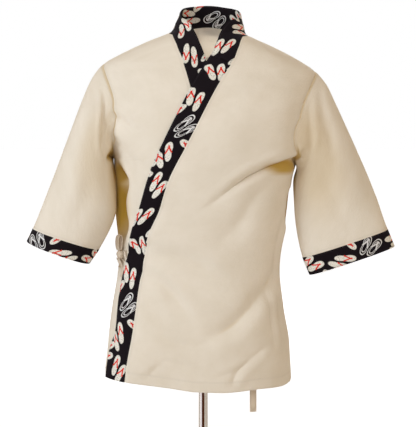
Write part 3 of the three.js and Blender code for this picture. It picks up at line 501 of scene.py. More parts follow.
def sleeve_surface(side):
    """A sleeve's faces as a function of the turn round it, the share of its length and how far out they lie."""
    out_x, out_h, in_x, in_h, depth, mid_y = (curve_through(SLEEVES[side], k) for k in range(1, 7))

    def section(turn, t):
        n = SLEEVE_SQUARE
        r = (np.abs(np.cos(turn)) ** n + np.abs(np.sin(turn)) ** n) ** (-1 / n)
        c = (1 + np.cos(turn) * r) / 2
        x = in_x(t) + (out_x(t) - in_x(t)) * c
        h = in_h(t) + (out_h(t) - in_h(t)) * c
        return np.stack([x, mid_y(t) - depth(t) * np.sin(turn) * r, h], -1)

    def edge(turn):
        angle, h = armhole(side, turn)
        return body(angle, h), normal_of(body, angle, h)

    def plain(turn, t, rim):
        fade = (1 - smooth(0, 0.3, t))[..., None]
        return section(turn, t) + (rim - section(turn, 0 * t)) * fade

    def faces(turn, t, thick):
        rim, rim_out = edge(turn)
        near = np.clip(t, 0.005, 0.995)
        round_ = plain(turn + 0.01, near, edge(turn + 0.01)[0]) - plain(turn - 0.01, near, edge(turn - 0.01)[0])
        along = plain(turn, near + 0.005, rim) - plain(turn, near - 0.005, rim)
        own = unit(np.cross(round_, along)) * side
        blend = (1 - smooth(0, 0.03, t))[..., None]
        away = unit(own * (1 - blend) + rim_out * blend)
        flat = np.stack([np.mod(turn, 2 * PI) * SLEEVE_REACH, t * SLEEVE_LENGTH], -1)
        depth_here = fold_heights(SLEEVE_FOLDS[side], flat, (math.radians(SLEEVE_REACH), SLEEVE_LENGTH))
        ripple = 0.9 * np.sin(turn * 3 + t * 7) + 0.6 * np.sin(turn * 5 - t * 11 + 1.7)
        depth_here = (depth_here + ripple * smooth(*CUFF_CALM, t)) * smooth(*CROWN_CALM, t)
        depth_here = depth_here * bpy.context.scene.jacket_sizes.fold_strength
        return (plain(turn, t, rim) + away * (depth_here + out)[..., None] for out in (thick, THIN))

    return faces


def grid_lengths(grid):
    """Distances over a grid of points: across from its first column, and along from its first row."""
    steps = np.linalg.norm(np.diff(grid, axis=1), axis=-1)
    rises = np.linalg.norm(np.diff(grid, axis=0), axis=-1)
    zero = np.zeros((len(grid), 1))
    return np.hstack([zero, np.cumsum(steps, 1)]), np.vstack([0 * rises[:1], np.cumsum(rises, 0)])


def painted_fold_shade(outer, inner, closed):
    """How deep in a hollow each point of a grid lies, from 0 to 1, as the weight of the shade painted there."""
    around = outer
    for axis in (0, 1):
        pad = [(0, 0)] * 3
        pad[axis] = (PAINTED_SHADE_REACH + 1, PAINTED_SHADE_REACH)
        total = np.cumsum(np.pad(around, pad, mode="wrap" if closed and axis else "reflect"), axis)
        width = 2 * PAINTED_SHADE_REACH + 1
        late, early = [slice(None)] * 3, [slice(None)] * 3
        late[axis], early[axis] = slice(width, None), slice(None, -width)
        around = (total[tuple(late)] - total[tuple(early)]) / width
    behind = ((around - outer) * unit(outer - inner)).sum(-1)
    return smooth(PAINTED_SHADE_FROM, PAINTED_SHADE_FULL, behind)


def along_edges(across, along, sewn, hem):
    """Metres along and away from the nearest sewn edge, the bottom's stitches moved up by the hem's depth."""
    from_edge = {"b": along - hem, "t": along[-1:] - along, "l": across, "r": across[:, -1:] - across}
    run = {"b": across, "t": across, "l": along, "r": along}
    nearest, beside = np.full(across.shape, 9.0), across
    for edge in sewn:
        closer = from_edge[edge] < nearest
        nearest, beside = np.where(closer, from_edge[edge], nearest), np.where(closer, run[edge], beside)
    return beside, nearest


def rims_of(corner, closed):
    """The corners along each open edge of a grid, each with the corner next to it inside."""
    if closed:
        return [(corner[0], corner[1]), (corner[-1, ::-1], corner[-2, ::-1])]
    inside = np.pad(corner[1:-1, 1:-1], ((1, 1), (1, 1), (0, 0)), mode="edge")
    around = lambda g: np.concatenate([g[0], g[1:, -1], g[-1, -2::-1], g[-2::-1, 0]])
    return [(around(corner), around(inside))]


def cells(corner):
    """The four corners of each cell of a grid."""
    return np.stack([corner[:-1, :-1], corner[:-1, 1:], corner[1:, 1:], corner[1:, :-1]], 2).reshape(-1, 4, 2)


def cloth_piece(name, outer, inner, closed=False, sewn="blrt", hem=0.0, start=0.0, sideways=False, place=stand_up,
                shade=0.0):
    """A thin closed sheet with rolled edges from its outer and inner faces, as grids of points.

    Its map "cloth" holds metres across and along it; its map "stitch" metres along and away from the nearest of its
    sewn edges: b, t, l and r for the bottom, top, left and right of the grid. Its map "hollow" holds the weight of
    the
    shade painted into its colour: how deep it lies in a fold, and at least the painted shade given.
    """
    outer, inner = place(outer), place(inner)
    rows, columns = outer.shape[:2]
    wrap = lambda grid: np.concatenate([grid, grid[:, :1]], 1) if closed else grid
    across, along = grid_lengths(wrap(outer))
    beside, nearest = along_edges(across, along, sewn, hem)
    if sideways:
        across, along = along, across
    # painted shade: the deeper of the fold's hollow and the shade patch given
    deep = wrap(np.maximum(painted_fold_shade(outer, inner, closed), shade))
    maps = {"cloth": (across, along + start), "hollow": (deep, 0 * deep), "stitch": (beside, nearest)}
    maps = {key: np.stack(pair, -1).reshape(-1, 2) for key, pair in maps.items()}

    # Each corner of a face is a vertex and a place on the maps, which differ where a tube closes
    corner = np.stack([wrap(np.arange(rows * columns).reshape(rows, columns)),
                       np.arange(across.size).reshape(rows, -1)], -1)
    total, back = 2 * rows * columns, np.array([rows * columns, 0])
    faces = [cells(corner), cells(corner)[:, ::-1] + back]
    points = [outer.reshape(-1, 3), inner.reshape(-1, 3)]
    for edge, inside in rims_of(corner, closed):
        a, b = points[0][edge[:, 0]], points[1][edge[:, 0]]
        bulge = unit(a - points[0][inside[:, 0]]) * np.linalg.norm(a - b, axis=-1, keepdims=True) * EDGE_BULGE
        points.append(((a + b) / 2 + bulge)[:-1])
        middle = np.stack([total + np.arange(len(edge)) % (len(edge) - 1), edge[:, 1]], -1)
        total += len(edge) - 1
        for near, far in ((edge, middle), (middle, edge + back)):
            faces.append(np.stack([near[1:], near[:-1], far[:-1], far[1:]], 1))
    return mesh_piece(name, np.concatenate(points), np.concatenate(faces), maps)


def mesh_piece(name, points, faces, maps):
    """A smooth-shaded object from faces whose corners each name a vertex and a place on the maps."""
    quads = faces[:, :, 0]
    a, b, c, d = (points[quads[:, k]] for k in range(4))
    if (a * np.cross(b, c)).sum() + (a * np.cross(c, d)).sum() < 0:
        faces = faces[:, ::-1]
    mesh = bpy.data.meshes.new(name)
    mesh.from_pydata(points.tolist(), [], faces[:, :, 0].tolist())
    for layer_name, values in maps.items():
        mesh.uv_layers.new(name=layer_name).data.foreach_set("uv", values[faces[:, :, 1].ravel()].ravel())
    mesh.polygons.foreach_set("use_smooth", [True] * len(mesh.polygons))
    piece = bpy.data.objects.new(name, mesh)
    bpy.context.scene.collection.objects.link(piece)
    return piece


def finish_piece(piece, node, material):
    """Gives a piece its material in its one slot, hides the solid that it replaces, and hangs it from the root."""
    piece.data.materials.clear()
    piece.data.materials.append(material)
    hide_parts(node)
    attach(piece, "root")
    return piece


def flat_area(grid):
    """Area of a grid of points in millimetres, in square metres."""
    a, b, c, d = grid[:-1, :-1], grid[:-1, 1:], grid[1:, 1:], grid[1:, :-1]
    half = lambda p, q, r: np.linalg.norm(np.cross(q - p, r - p), axis=-1).sum() / 2
    return (half(a, b, c) + half(a, c, d)) / 1e6


def paint(colour, scale=1.0, step=0.0):
    """A colour with its alpha, scaled by one factor or by one each, and shifted."""
    scales = scale if isinstance(scale, tuple) else (scale,) * 3
    return tuple(min(1, v * k + step) for v, k in zip(colour, scales)) + (1,)


class Recipe:
    """A material's or a world's nodes, added in the order they are used."""

    def __init__(self, owner):
        owner.use_nodes = True
        self.owner, self.tree = owner, owner.node_tree
        self.shader = self.tree.nodes.get("Principled BSDF")

    def put(self, target, value):
        if isinstance(value, bpy.types.NodeSocket):
            self.tree.links.new(value, target)
        elif value is not None:
            target.default_value = value

    def set(self, **values):
        """Sets the shader's sockets, whose names are written with underscores."""
        for key, value in values.items():
            self.put(self.shader.inputs[key.replace("_", " ")], value)
        return self.owner

    def node(self, kind, inputs=(), out=0, **settings):
        node = self.tree.nodes.new(kind)
        for key, value in settings.items():
            setattr(node, key, value)
        for key, value in dict(inputs).items():
            self.put(node.inputs[key], value)
        return node.outputs[out]

    def math(self, operation, a, b=None, c=None):
        inputs = {k: v for k, v in enumerate((a, b, c)) if v is not None}
        return self.node("ShaderNodeMath", inputs, operation=operation)

    def times(self, a, b):
        return self.math("MULTIPLY", a, b)

    def span(self, value, low, high, start=0.0, end=1.0, **settings):
        """Maps start to end onto low to high."""
        return self.node("ShaderNodeMapRange", {"Value": value, "From Min": start, "From Max": end,
                                                "To Min": low, "To Max": high}, **settings)

    def uv(self, name):
        split = self.tree.nodes.new("ShaderNodeSeparateXYZ")
        self.put(split.inputs[0], self.node("ShaderNodeUVMap", uv_map=name))
        return split.outputs[0], split.outputs[1]

    def band(self, value, centre, width, soft):
        """1 within width of a value, falling to 0 over soft."""
        away = self.math("ABSOLUTE", self.math("SUBTRACT", value, centre))
        return self.span(away, 1.0, 0.0, width, width + soft, interpolation_type="SMOOTHSTEP")

    def noise(self, vector, scale, detail=2.0, roughness=0.5):
        return self.node("ShaderNodeTexNoise", {"Vector": vector, "Scale": scale, "Detail": detail,
                                                "Roughness": roughness})

    def grain(self, place, stretch, detail=3.0, roughness=0.5):
        """Noise stretched by a scale for each direction."""
        return self.noise(self.node("ShaderNodeMapping", {"Vector": place, "Scale": stretch}), 1.0, detail, roughness)

    def mix(self, factor, a, b):
        node = self.tree.nodes.new("ShaderNodeMix")
        node.data_type = "RGBA"
        for socket, value in ((node.inputs[0], factor), (node.inputs[6], a), (node.inputs[7], b)):
            self.put(socket, value)
        return node.outputs[2]

    def bump(self, height, strength, distance, under=None):
        inputs = {"Height": height, "Strength": strength, "Distance": distance, "Normal": under}
        return self.node("ShaderNodeBump", inputs)

    def cloth(self):
        """Where a point lies on the cloth, in metres: across, along, and both as a vector."""
        across, along = self.uv("cloth")
        return across, along, self.node("ShaderNodeCombineXYZ", {0: across, 1: along})

    def stitches(self, distance):
        """A row of stitches at a distance from the sewn edges, and the groove they pull."""
        along, away = self.uv("stitch")
        dash = self.band(self.math("FRACT", self.math("DIVIDE", along, STITCH_PITCH)), 0.5, 0.32, 0.1)
        groove = self.band(away, distance, 0.0006, 0.0018)
        return self.times(self.band(away, distance, 0.0004, 0.0004), dash), groove

    def sewn_bump(self, thread, groove, under):
        return self.bump(self.math("SUBTRACT", thread, groove), 0.6, 0.0005, under)


def new_material(name):
    return Recipe(bpy.data.materials.new(name))


def twill_cloth(name):
    """Cream cotton twill with stitched edges, and shade painted into its folds and its stitches' grooves."""
    r = new_material(name)
    sizes, colours = bpy.context.scene.jacket_sizes, bpy.context.scene.jacket_colours
    across, along, place = r.cloth()
    slant = r.times(r.math("ADD", across, along), 2 * PI / sizes.twill_pitch)
    ribs = r.math("MULTIPLY_ADD", r.math("SINE", slant), 0.5, 0.5)
    yarn = r.grain(place, (900, 120, 1))
    tone, crease = r.noise(place, 14.0, 4.0, 0.6), r.noise(place, 26.0, 5.0, 0.55)
    thread, groove = r.stitches(sizes.edge_stitch)
    light, dark = paint(colours.cloth, 1.035), paint(colours.cloth, (0.955, 0.945, 0.92))
    base = r.mix(r.span(tone, 0.0, 1.0, 0.3, 0.7), dark, light)
    base = r.mix(r.times(yarn, 0.16), base, dark)
    # painted shade: the groove the stitches pull is darkened
    base = r.mix(r.times(groove, 0.22), base, paint(colours.cloth, 0.8))
    base = r.mix(r.times(thread, 0.5), base, light)
    # painted shade: the cloth turns to the warm dark hollow colour deep in its folds and in the listed shade patches
    base = r.mix(r.times(r.uv("hollow")[0], 0.97), base, paint(colours.hollow))
    normal = r.sewn_bump(thread, groove, r.bump(crease, 0.75, 0.0022))
    normal = r.bump(r.math("ADD", ribs, r.times(yarn, 0.7)), 0.35, 0.00018, normal)
    return r.set(Base_Color=base, Roughness=r.span(yarn, 0.82, 0.95), Specular_IOR_Level=0.25, Sheen_Weight=0.12,
                 Sheen_Roughness=0.5, Normal=normal)


def tie_tape(name):
    """Folded tape, topstitched along both edges."""
    r, colour = new_material(name), bpy.context.scene.jacket_colours.ties
    _, _, place = r.cloth()
    yarn = r.grain(place, (900, 200, 1))
    thread, groove = r.stitches(TIE_STITCH)
    base = r.mix(yarn, paint(colour, 0.86), paint(colour))
    # painted shade: the groove the stitches pull is darkened
    base = r.mix(r.times(groove, 0.3), base, paint(colour, 0.7))
    base = r.mix(r.times(thread, 0.5), base, (0.8, 0.72, 0.6, 1))
    normal = r.sewn_bump(thread, groove, r.bump(r.noise(place, 90.0, 4.0), 0.6, 0.0008))
    return r.set(Base_Color=base, Roughness=r.span(yarn, 0.8, 0.95), Normal=r.bump(yarn, 0.35, 0.0002, normal))


# Pairs of sandals on one repeat of the print, in metres: across, along, turn in degrees, how far one steps ahead of
# the other, and 1 where the pair is drawn in line only
SANDALS = (
    (0.017, 0.022, 18, 0.005, 0), (0.031, 0.086, -26, -0.006, 0), (0.018, 0.152, 36, 0.003, 1),
    (0.027, 0.214, -9, 0.006, 0), (0.016, 0.280, -34, 0.004, 0), (0.030, 0.344, 14, -0.005, 0),
    (0.056, 0.050, 64, 0.004, 0), (-0.013, 0.118, -52, 0.003, 0), (0.059, 0.182, 24, -0.004, 0),
    (-0.012, 0.312, 40, 0.004, 0),
)
PRINT_REPEAT = 0.392
SANDAL_LONG, SANDAL_WIDE, SANDAL_APART = 0.0218, 0.0072, 0.0085  # half of length, width and the pair's spacing
SPLAY = 0.11


def sandal_masks(r, x, y):
    """Masks of one sandal about its middle: its sole, its thong and its outline."""
    waist = r.math("MULTIPLY_ADD", y, 7.0, 0.98)
    waist = r.math("SUBTRACT", waist, r.times(r.band(y, -0.002, 0.001, 0.010), 0.16))
    wide = r.math("ABSOLUTE", r.math("DIVIDE", x, r.times(waist, SANDAL_WIDE)))
    long_ = r.math("ABSOLUTE", r.math("DIVIDE", y, SANDAL_LONG))
    reach = r.math("ADD", r.math("POWER", wide, 2.4), r.math("POWER", long_, 3.0))
    outline = r.math("MAXIMUM", r.band(reach, 0.96, 0.13, 0.10), r.band(reach, 0.34, 0.05, 0.06))
    spread = r.math("MULTIPLY_ADD", r.math("SUBTRACT", 0.0125, y), 0.42, -0.0008)
    legs = r.times(r.band(r.math("ABSOLUTE", x), spread, 0.0012, 0.0006), r.band(y, 0.0052, 0.0078, 0.0008))
    post = r.times(r.band(x, 0.0, 0.0014, 0.0005), r.band(y, 0.0122, 0.0018, 0.0006))
    return r.span(reach, 1.0, 0.0, 0.88, 1.05), r.math("MAXIMUM", legs, post), outline


def printed_cloth(name):
    """Near-black cotton printed with scattered pairs of thonged sandals, in rows along the cloth."""
    r, colours = new_material(name), bpy.context.scene.jacket_colours
    across, along, place = r.cloth()
    filled, lined = [], []
    for u, v, turn, step, drawn in SANDALS:
        x = r.math("SUBTRACT", across, u)
        y = r.math("WRAP", r.math("SUBTRACT", along, v), PRINT_REPEAT / 2, -PRINT_REPEAT / 2)
        c, s = math.cos(math.radians(turn)), math.sin(math.radians(turn))
        aside = r.math("MULTIPLY_ADD", x, c, r.times(y, s))
        ahead = r.math("MULTIPLY_ADD", y, c, r.times(x, -s))
        for way in (-1, 1):
            turned = r.math("SUBTRACT", r.math("MULTIPLY_ADD", ahead, -way * SPLAY, aside), way * SANDAL_APART)
            foot = sandal_masks(r, turned, r.math("SUBTRACT", ahead, way * step))
            (lined if drawn else filled).append(foot)
    fibre = r.grain(place, (700, 260, 1))
    base = r.mix(fibre, paint(colours.ground, 0.7), paint(colours.ground, 1.5))
    dots = r.span(r.noise(place, 520.0, 1.0), 0.0, 1.0, 0.55, 0.66)
    straw = r.mix(r.times(dots, 0.75), paint(colours.sole), (0.24, 0.21, 0.18, 1))
    for _, thong, edge in lined:
        base = r.mix(r.math("MAXIMUM", edge, thong), base, paint(colours.outline))
    for sole, thong, _ in filled:
        base = r.mix(thong, r.mix(sole, base, straw), paint(colours.thong))
    thread, groove = r.stitches(BAND_STITCH)
    base = r.mix(r.times(thread, 0.3), base, (0.05, 0.045, 0.05, 1))
    normal = r.sewn_bump(thread, groove, r.bump(r.noise(place, 45.0, 4.0), 0.4, 0.0008))
    return r.set(Base_Color=base, Roughness=r.span(fibre, 0.75, 0.9), Specular_IOR_Level=0.12,
                 Normal=r.bump(fibre, 0.35, 0.0002, normal))


def form_cover():
    """Plain stretched jersey on the form, read from its place."""
    r, colour = new_material("stretched form cover"), bpy.context.scene.jacket_colours.form
    place = r.node("ShaderNodeTexCoord", out=3)
    knit = r.grain(place, (900, 900, 500), 2.0)
    base = r.mix(r.noise(place, 9.0, 3.0), paint(colour, step=-0.04), paint(colour, step=0.02))
    base = r.mix(r.times(knit, 0.25), base, paint(colour, step=-0.135))
    return r.set(Base_Color=base, Roughness=r.span(knit, 0.8, 0.95), Normal=r.bump(knit, 0.3, 0.0003))


def metal(name, colour, low, high, stretch):
    """Plated metal with faint wiping marks in its gloss."""
    r = new_material(name)
    wipe = r.grain(r.node("ShaderNodeTexCoord", out=3), stretch, 4.0, 0.6)
    return r.set(Metallic=1.0, Base_Color=r.mix(wipe, paint(colour), paint(colour, 0.86)),
                 Roughness=r.span(wipe, low, high), Normal=r.bump(wipe, 0.08, 0.0004))


class JacketSizes(bpy.types.PropertyGroup):
    """Sizes of the cloth's finish."""
    fold_strength: FloatProperty(name="Folds", description="How deep the folds are", default=1.0, min=0.0, max=2.0)
    twill_pitch: FloatProperty(name="Twill pitch", description="Distance between the twill's ribs",
                               default=0.0011, min=0.0003, max=0.01, precision=4, unit="LENGTH")
    edge_stitch: FloatProperty(name="Edge stitching", description="Distance of the stitching from a sewn edge",
                               default=0.005, min=0.001, max=0.02, precision=4, unit="LENGTH")


class JacketColours(bpy.types.PropertyGroup):
    """Colours of the cloth, the print and the stand."""
    def colour(name, text, default):
        return FloatVectorProperty(name=name, description=text, subtype="COLOR", size=3, default=default,
                                   min=0.0, max=1.0)

    cloth: colour("Cloth", "Cream cotton twill of the panels and sleeves", (0.84, 0.775, 0.70))
    # painted shade: the warm dark colour the cloth is painted with in its folds and where cloth lies beside cloth
    hollow: colour("Hollows", "The cloth deep in its folds, where it is lit by itself", (0.53, 0.325, 0.03))
    ties: colour("Ties", "Tape of the waist ties", (0.84, 0.725, 0.61))
    ground: colour("Print ground", "Ground of the printed band and cuffs", (0.0050, 0.0024, 0.0042))
    sole: colour("Soles", "Soles of the printed sandals", (0.84, 0.82, 0.78))
    thong: colour("Thongs", "Thongs of the printed sandals", (0.74, 0.040, 0.025))
    outline: colour("Outlines", "Sandals printed in line only", (0.72, 0.72, 0.75))
    form: colour("Form", "Stretched cover of the dress form", (0.64, 0.59, 0.51))
    pole: colour("Pole", "Plated pole", (0.80, 0.76, 0.74))
    base: colour("Base", "Satin steel base", (0.52, 0.51, 0.50))


class StudioLight(bpy.types.PropertyGroup):
    """The studio's lights."""
    def power(name, text, default):
        return FloatProperty(name=name, description="Power of the " + text, default=default, min=0.0, unit="POWER")

    key: power("Key", "large light in front", 19.5)
    side: power("Side", "light from the front left", 53.0)
    above: power("Above", "light over the neck", 12.0)
    right: power("Right", "light from the front right", 13.5)
    neck: power("Neck", "narrow light into the neck", 0.009)
    behind: power("Behind", "light behind", 60.0)
    fill: FloatProperty(name="Fill", description="Strength of the warm light from all round", default=0.3, min=0.0)


def make_cloth(name, node, slot, material, faces, held, rests_on, with_pieces=(), thick=0.0, **cut):
    """A piece of cloth given its material; the size of its outer face laid flat, its thick edges added, is worked out
    but not used.
    """
    outer, inner = faces
    piece = finish_piece(cloth_piece(name, outer, inner, **cut), node, material)
    grid = np.concatenate([outer, outer[:, :1]], 1) if cut.get("closed") else outer
    across, along = grid_lengths(grid)
    width, length = (across[:, -1].max() + thick) / 1000, (along[-1].max() + thick) / 1000
    width, length = round(max(width, 0.01), 4), round(max(length, 0.01), 4)
    area = flat_area(grid) + thick / 1000 * (width + length)


def back_grid():
    rows = np.concatenate([PANEL_ROWS, NECKLINE_ROWS])
    neck = neckline_angle(rows) + 0.004
    start = np.where(rows > NECK, neck, side_angle(1, False, rows))
    end = np.where(rows > NECK, 2 * PI - neck, 2 * PI + side_angle(-1, False, rows))
    return panel_grid(start, end, 110), rows


def front_grids():
    rows = PANEL_ROWS
    left = panel_grid(np.radians(over_edge(rows)), side_angle(1, True, rows), 74)
    right = panel_grid(side_angle(-1, True, rows), np.radians(under_edge(rows)), 66)
    return (left, rows), (right, rows)


class JACKET_OT_panels(bpy.types.Operator):
    """Make the back and the two fronts of the jacket"""
    bl_idname = "jacket.panels"
    bl_label = "Panels"

    def execute(self, context):
        twill = twill_cloth("cream twill")
        left, right = front_grids()
        panels = (
            ("back_cloth", "back_panel", body, under_lift, back_grid()),
            ("left_front_cloth", "left_front_panel", over_body, over_lift, left),
            ("right_front_cloth", "right_front_panel", body, under_lift, right),
        )
        for name, node, surface, lift, (angle, rows) in panels:
            h = np.repeat(rows[:, None], angle.shape[1], 1)
            # shade painted into the cloth at the listed patches
            shade = shade_at(BODY_SHADES, np.mod(np.degrees(angle) + 110, 360) - 110, h)
            make_cloth(name, node, "cloth", twill, faces_of_layer(surface, lift, angle, h, CLOTH), "hung",
                       ["dress_form"], sewn="blr", hem=HEM_DEPTH, shade=shade)
        return {"FINISHED"}


class JACKET_OT_bands(bpy.types.Operator):
    """Make the printed band of the fronts and the neck"""
    bl_idname = "jacket.bands"
    bl_label = "Neck band"

    def execute(self, context):
        print_ = printed_cloth("printed cotton")
        end = len(STOPS) - 1
        stretches = (
            ("left_front_print", "left_front_band", over_body, over_lift, 0, LEFT_JOIN - 0.02, "left_front_cloth"),
            ("neck_print", "neck_band", body, under_lift, LEFT_JOIN + 0.02, RIGHT_JOIN - 0.02, "back_cloth"),
            ("right_front_print", "right_front_band", body, under_lift, RIGHT_JOIN + 0.02, end, "right_front_cloth"),
        )
        length = 0.0
        for name, node, surface, lift, first, last, sewn_to in stretches:
            angle, h = band_grid(surface, first, last)
            outer, inner = faces_of_layer(surface, lift, angle, h, BAND_THICK)
            make_cloth(name, node, "print", print_, (outer, inner), "folded", [sewn_to], sewn="lr", start=length)
            length += grid_lengths(stand_up(outer))[1][-1, 0]
        return {"FINISHED"}


def sleeve_piece(name, node, side, stations, thick, slot, material, sewn_to, sideways=False):
    turn, t = np.meshgrid(SLEEVE_TURNS, stations)
    # shade painted into the sleeve at the listed patches
    shade = shade_at(SLEEVE_SHADES[side], np.mod(np.degrees(turn), 360), t)
    make_cloth(name, node, slot, material, sleeve_surface(side)(turn, t, thick), "hung", [sewn_to], closed=True,
               sideways=sideways, shade=shade)


class JACKET_OT_sleeves(bpy.types.Operator):
    """Make the two sleeves and their printed cuffs"""
    bl_idname = "jacket.sleeves"
    bl_label = "Sleeves and cuffs"

    def execute(self, context):
        twill, print_ = twill_cloth("sleeve twill"), printed_cloth("printed cuff cotton")
        long_ = np.concatenate([np.linspace(0.0015, 0.02, 6)[:-1], np.linspace(0.02, CUFF_FROM - 0.0005, 104)])
        short = np.linspace(CUFF_FROM, 1.0, 14)
        for side, word in ((1, "left"), (-1, "right")):
            sleeve_piece(word + "_sleeve_cloth", word + "_sleeve", side, long_, CLOTH, "cloth", twill,
                         word + "_front_cloth")
            sleeve_piece(word + "_cuff_print", word + "_cuff_band", side, short, BAND_THICK, "print", print_,
                         word + "_sleeve_cloth", sideways=True)
        return {"FINISHED"}


def knot_frame():
    """The knot's middle on the body, and its directions to the front, up and out."""
    angle, h, out = (np.array([v]) for v in KNOT)
    at = list(faces_of_layer(body, under_lift, angle, h, out[0]))[0][0]
    outward = normal_of(body, angle, h)[0] * (1, 1, 0)
    outward /= np.linalg.norm(outward)
    up = np.array([0.0, 0.0, 1.0])
    return at, np.cross(up, outward), up, outward


def near_knot(points):
    """Points counted from the knot: to the front, up, and out from the body."""
    at, fore, up, out = knot_frame()
    return at + np.asarray(points, float) @ np.stack([fore, up, out])


def tape_grid(stops, wide):
    """The two faces of a tape that runs smoothly through its stops, its width turned to one direction."""
    marks = np.arange(len(stops))
    steps = np.linspace(0, len(stops) - 1, 10 * (len(stops) - 1) + 1)
    line = np.stack([curve_through([(m, p[k]) for m, p in zip(marks, stops)])(steps) for k in range(3)], -1)
    run = unit(np.gradient(line, axis=0))
    side = unit(wide - run * (run @ wide)[:, None])
    flat = np.cross(run, side)
    share = np.linspace(-1, 1, 13)
    crown = 1 - 0.35 * share ** 4
    spread = line[:, None] + side[:, None] * (share * TIE_WIDTH / 2)[:, None]
    lift = flat[:, None] * (crown * TIE_THICK / 2)[:, None]
    return spread + lift, spread - lift


class JACKET_OT_ties(bpy.types.Operator):
    """Make the waist ties with their knot, the bow's loop, and the tie that hangs inside"""
    bl_idname = "jacket.ties"
    bl_label = "Ties"

    def execute(self, context):
        tape = tie_tape("tie tape")
        _, fore, up, _ = knot_frame()
        knot = self.knot(tape)
        for name, stops in TIE_RUNS.items():
            angle, h, out = np.array(stops, float).T
            points, _ = faces_of_layer(body, under_lift, np.radians(angle), h, out)
            self.tape(name, points, up if "waist" in name else fore, tape)
        self.tape("bow_loop", near_knot(BOW_LOOP), fore, tape, held="folded", with_pieces=[knot])
        inner = np.array([(102.5, -y, PIVOT + h) for h, y in INNER_DROPS])
        self.tape("inner_tie", inner, unit(np.array([1, 0.35, 0])), tape, place=lambda p: p / 1000)
        return {"FINISHED"}

    def tape(self, node, stops, wide, material, held="hung", with_pieces=(), place=stand_up):
        make_cloth(node + "_tape", node, "tie_cloth", material, tape_grid(stops, wide), held, ["right_front_cloth"],
                   with_pieces, thick=TIE_THICK, place=place)

    def knot(self, material):
        """A tape's knot: a rounded body with three slanting wraps pulled tight over it."""
        polar, turn = np.meshgrid(np.linspace(0.02, PI - 0.02, 40), np.linspace(0, 2 * PI, 73)[:-1], indexing="ij")
        wraps = np.abs(np.sin(1.5 * polar + np.cos(turn) * 0.9 + 0.6))
        size = 1.04 - 0.16 * (1 - wraps) ** 3 - 0.05 * np.cos(4 * turn) * np.sin(polar)
        x, z = 8.5 * np.sin(polar) * np.cos(turn), 6.5 * np.sin(polar) * np.sin(turn)
        outer = near_knot(np.stack([x, 8.5 * np.cos(polar), z], -1) * size[..., None])
        centre = outer.mean((0, 1))
        piece = cloth_piece("tie_knot_wraps", outer, centre + (outer - centre) * 0.86, closed=True)
        return finish_piece(piece, "tie_knot", material)


class JACKET_OT_form(bpy.types.Operator):
    """Make the limbless dress form"""
    bl_idname = "jacket.form"
    bl_label = "Dress form"

    def execute(self, context):
        angle = np.linspace(0, 2 * PI, 193)[:-1]
        rim = SCOOP["front"] + (SCOOP["side"] - SCOOP["front"]) * np.abs(np.sin(angle)) ** 4
        edge = form_surface(angle, rim)
        middle = np.array([0, float(form_surface.mid_y(SCOOP["floor"])), SCOOP["floor"]])
        hollow = []
        for share in np.linspace(0.02, 0.985, 26):
            ring = middle + (edge - middle) * share
            ring[:, 2] = SCOOP["floor"] + (rim - SCOOP["floor"]) * share ** 3
            hollow.append(ring)
        walls = 1 - np.linspace(0, 1, 90) ** 1.4
        sides = [form_surface(angle, FORM_FOOT + (rim - FORM_FOOT) * v) for v in walls]
        foot = [form_surface(angle, h + 0 * angle) for h in np.linspace(FORM_FOOT - 1, FORM_BOTTOM, 12)]
        rings = stand_up(np.array(hollow + sides + foot))
        # the underside, its round hole for the pole, and the hole's walls and end
        c, s = math.cos(LEAN), math.sin(LEAN)
        x, y = SOCKET_R / 1000 * np.sin(angle), -SOCKET_R / 1000 * np.cos(angle)
        across = (x - FORM_BOTTOM / 1000 * s) / c
        hole = np.stack([x, y, PIVOT / 1000 - across * s + FORM_BOTTOM / 1000 * c], -1)
        under = [rings[-1] + (hole - rings[-1]) * v for v in (0.3, 0.6, 0.85, 0.97, 1.0)]
        top = (PIVOT + FORM_BOTTOM * c + SOCKET_DEPTH) / 1000
        wall = ((1, hole[:, 2].max() + 0.01), (1, top), (0.02, top))
        bore = [np.stack([x * v, y * v, 0 * x + z], -1) for v, z in wall]
        rings = np.concatenate([rings, under, bore])
        n = len(angle)
        ids = np.arange(len(rings) * n).reshape(-1, n)
        ids = np.hstack([ids, ids[:, :1]])
        piece = mesh_piece("dress_form_cover", rings.reshape(-1, 3), cells(np.stack([ids, ids], -1)), {})
        finish_piece(piece, "dress_form", form_cover())
        return {"FINISHED"}


def add_rod(name, radius, low, high, corners):
    """A capped cylinder that stands between two heights, in metres."""
    bpy.ops.object.select_all(action="DESELECT")
    bpy.ops.mesh.primitive_cylinder_add(vertices=corners, radius=radius, depth=high - low,
                                        location=(0, 0, (high + low) / 2))
    piece = bpy.context.active_object
    piece.name = piece.data.name = name
    bpy.ops.object.transform_apply(location=True, rotation=True, scale=True)
    return piece


def edit_faces(piece, test):
    """Opens a mesh for edits, with the faces selected whose normal passes a test."""
    for face in piece.data.polygons:
        face.select = test(face.normal)
    picked = {k for face in piece.data.polygons if face.select for k in face.vertices}
    for vertex in piece.data.vertices:
        vertex.select = vertex.index in picked
    for edge in piece.data.edges:
        edge.select = False
    bpy.ops.object.mode_set(mode="EDIT")
    bpy.ops.mesh.select_mode(type="FACE")


def put_in_order(mesh):
    """Sorts a mesh's points and faces by place, because the edit operators leave their order to chance."""
    points = np.array([vertex.co[:] for vertex in mesh.vertices])
    order = np.lexsort(points.T)
    rank = np.argsort(order)
    faces = []
    for face in mesh.polygons:
        ids = rank[list(face.vertices)]
        faces.append(np.roll(ids, -ids.argmin()).tolist())
    mesh.clear_geometry()
    mesh.from_pydata(points[order].tolist(), [], sorted(faces))


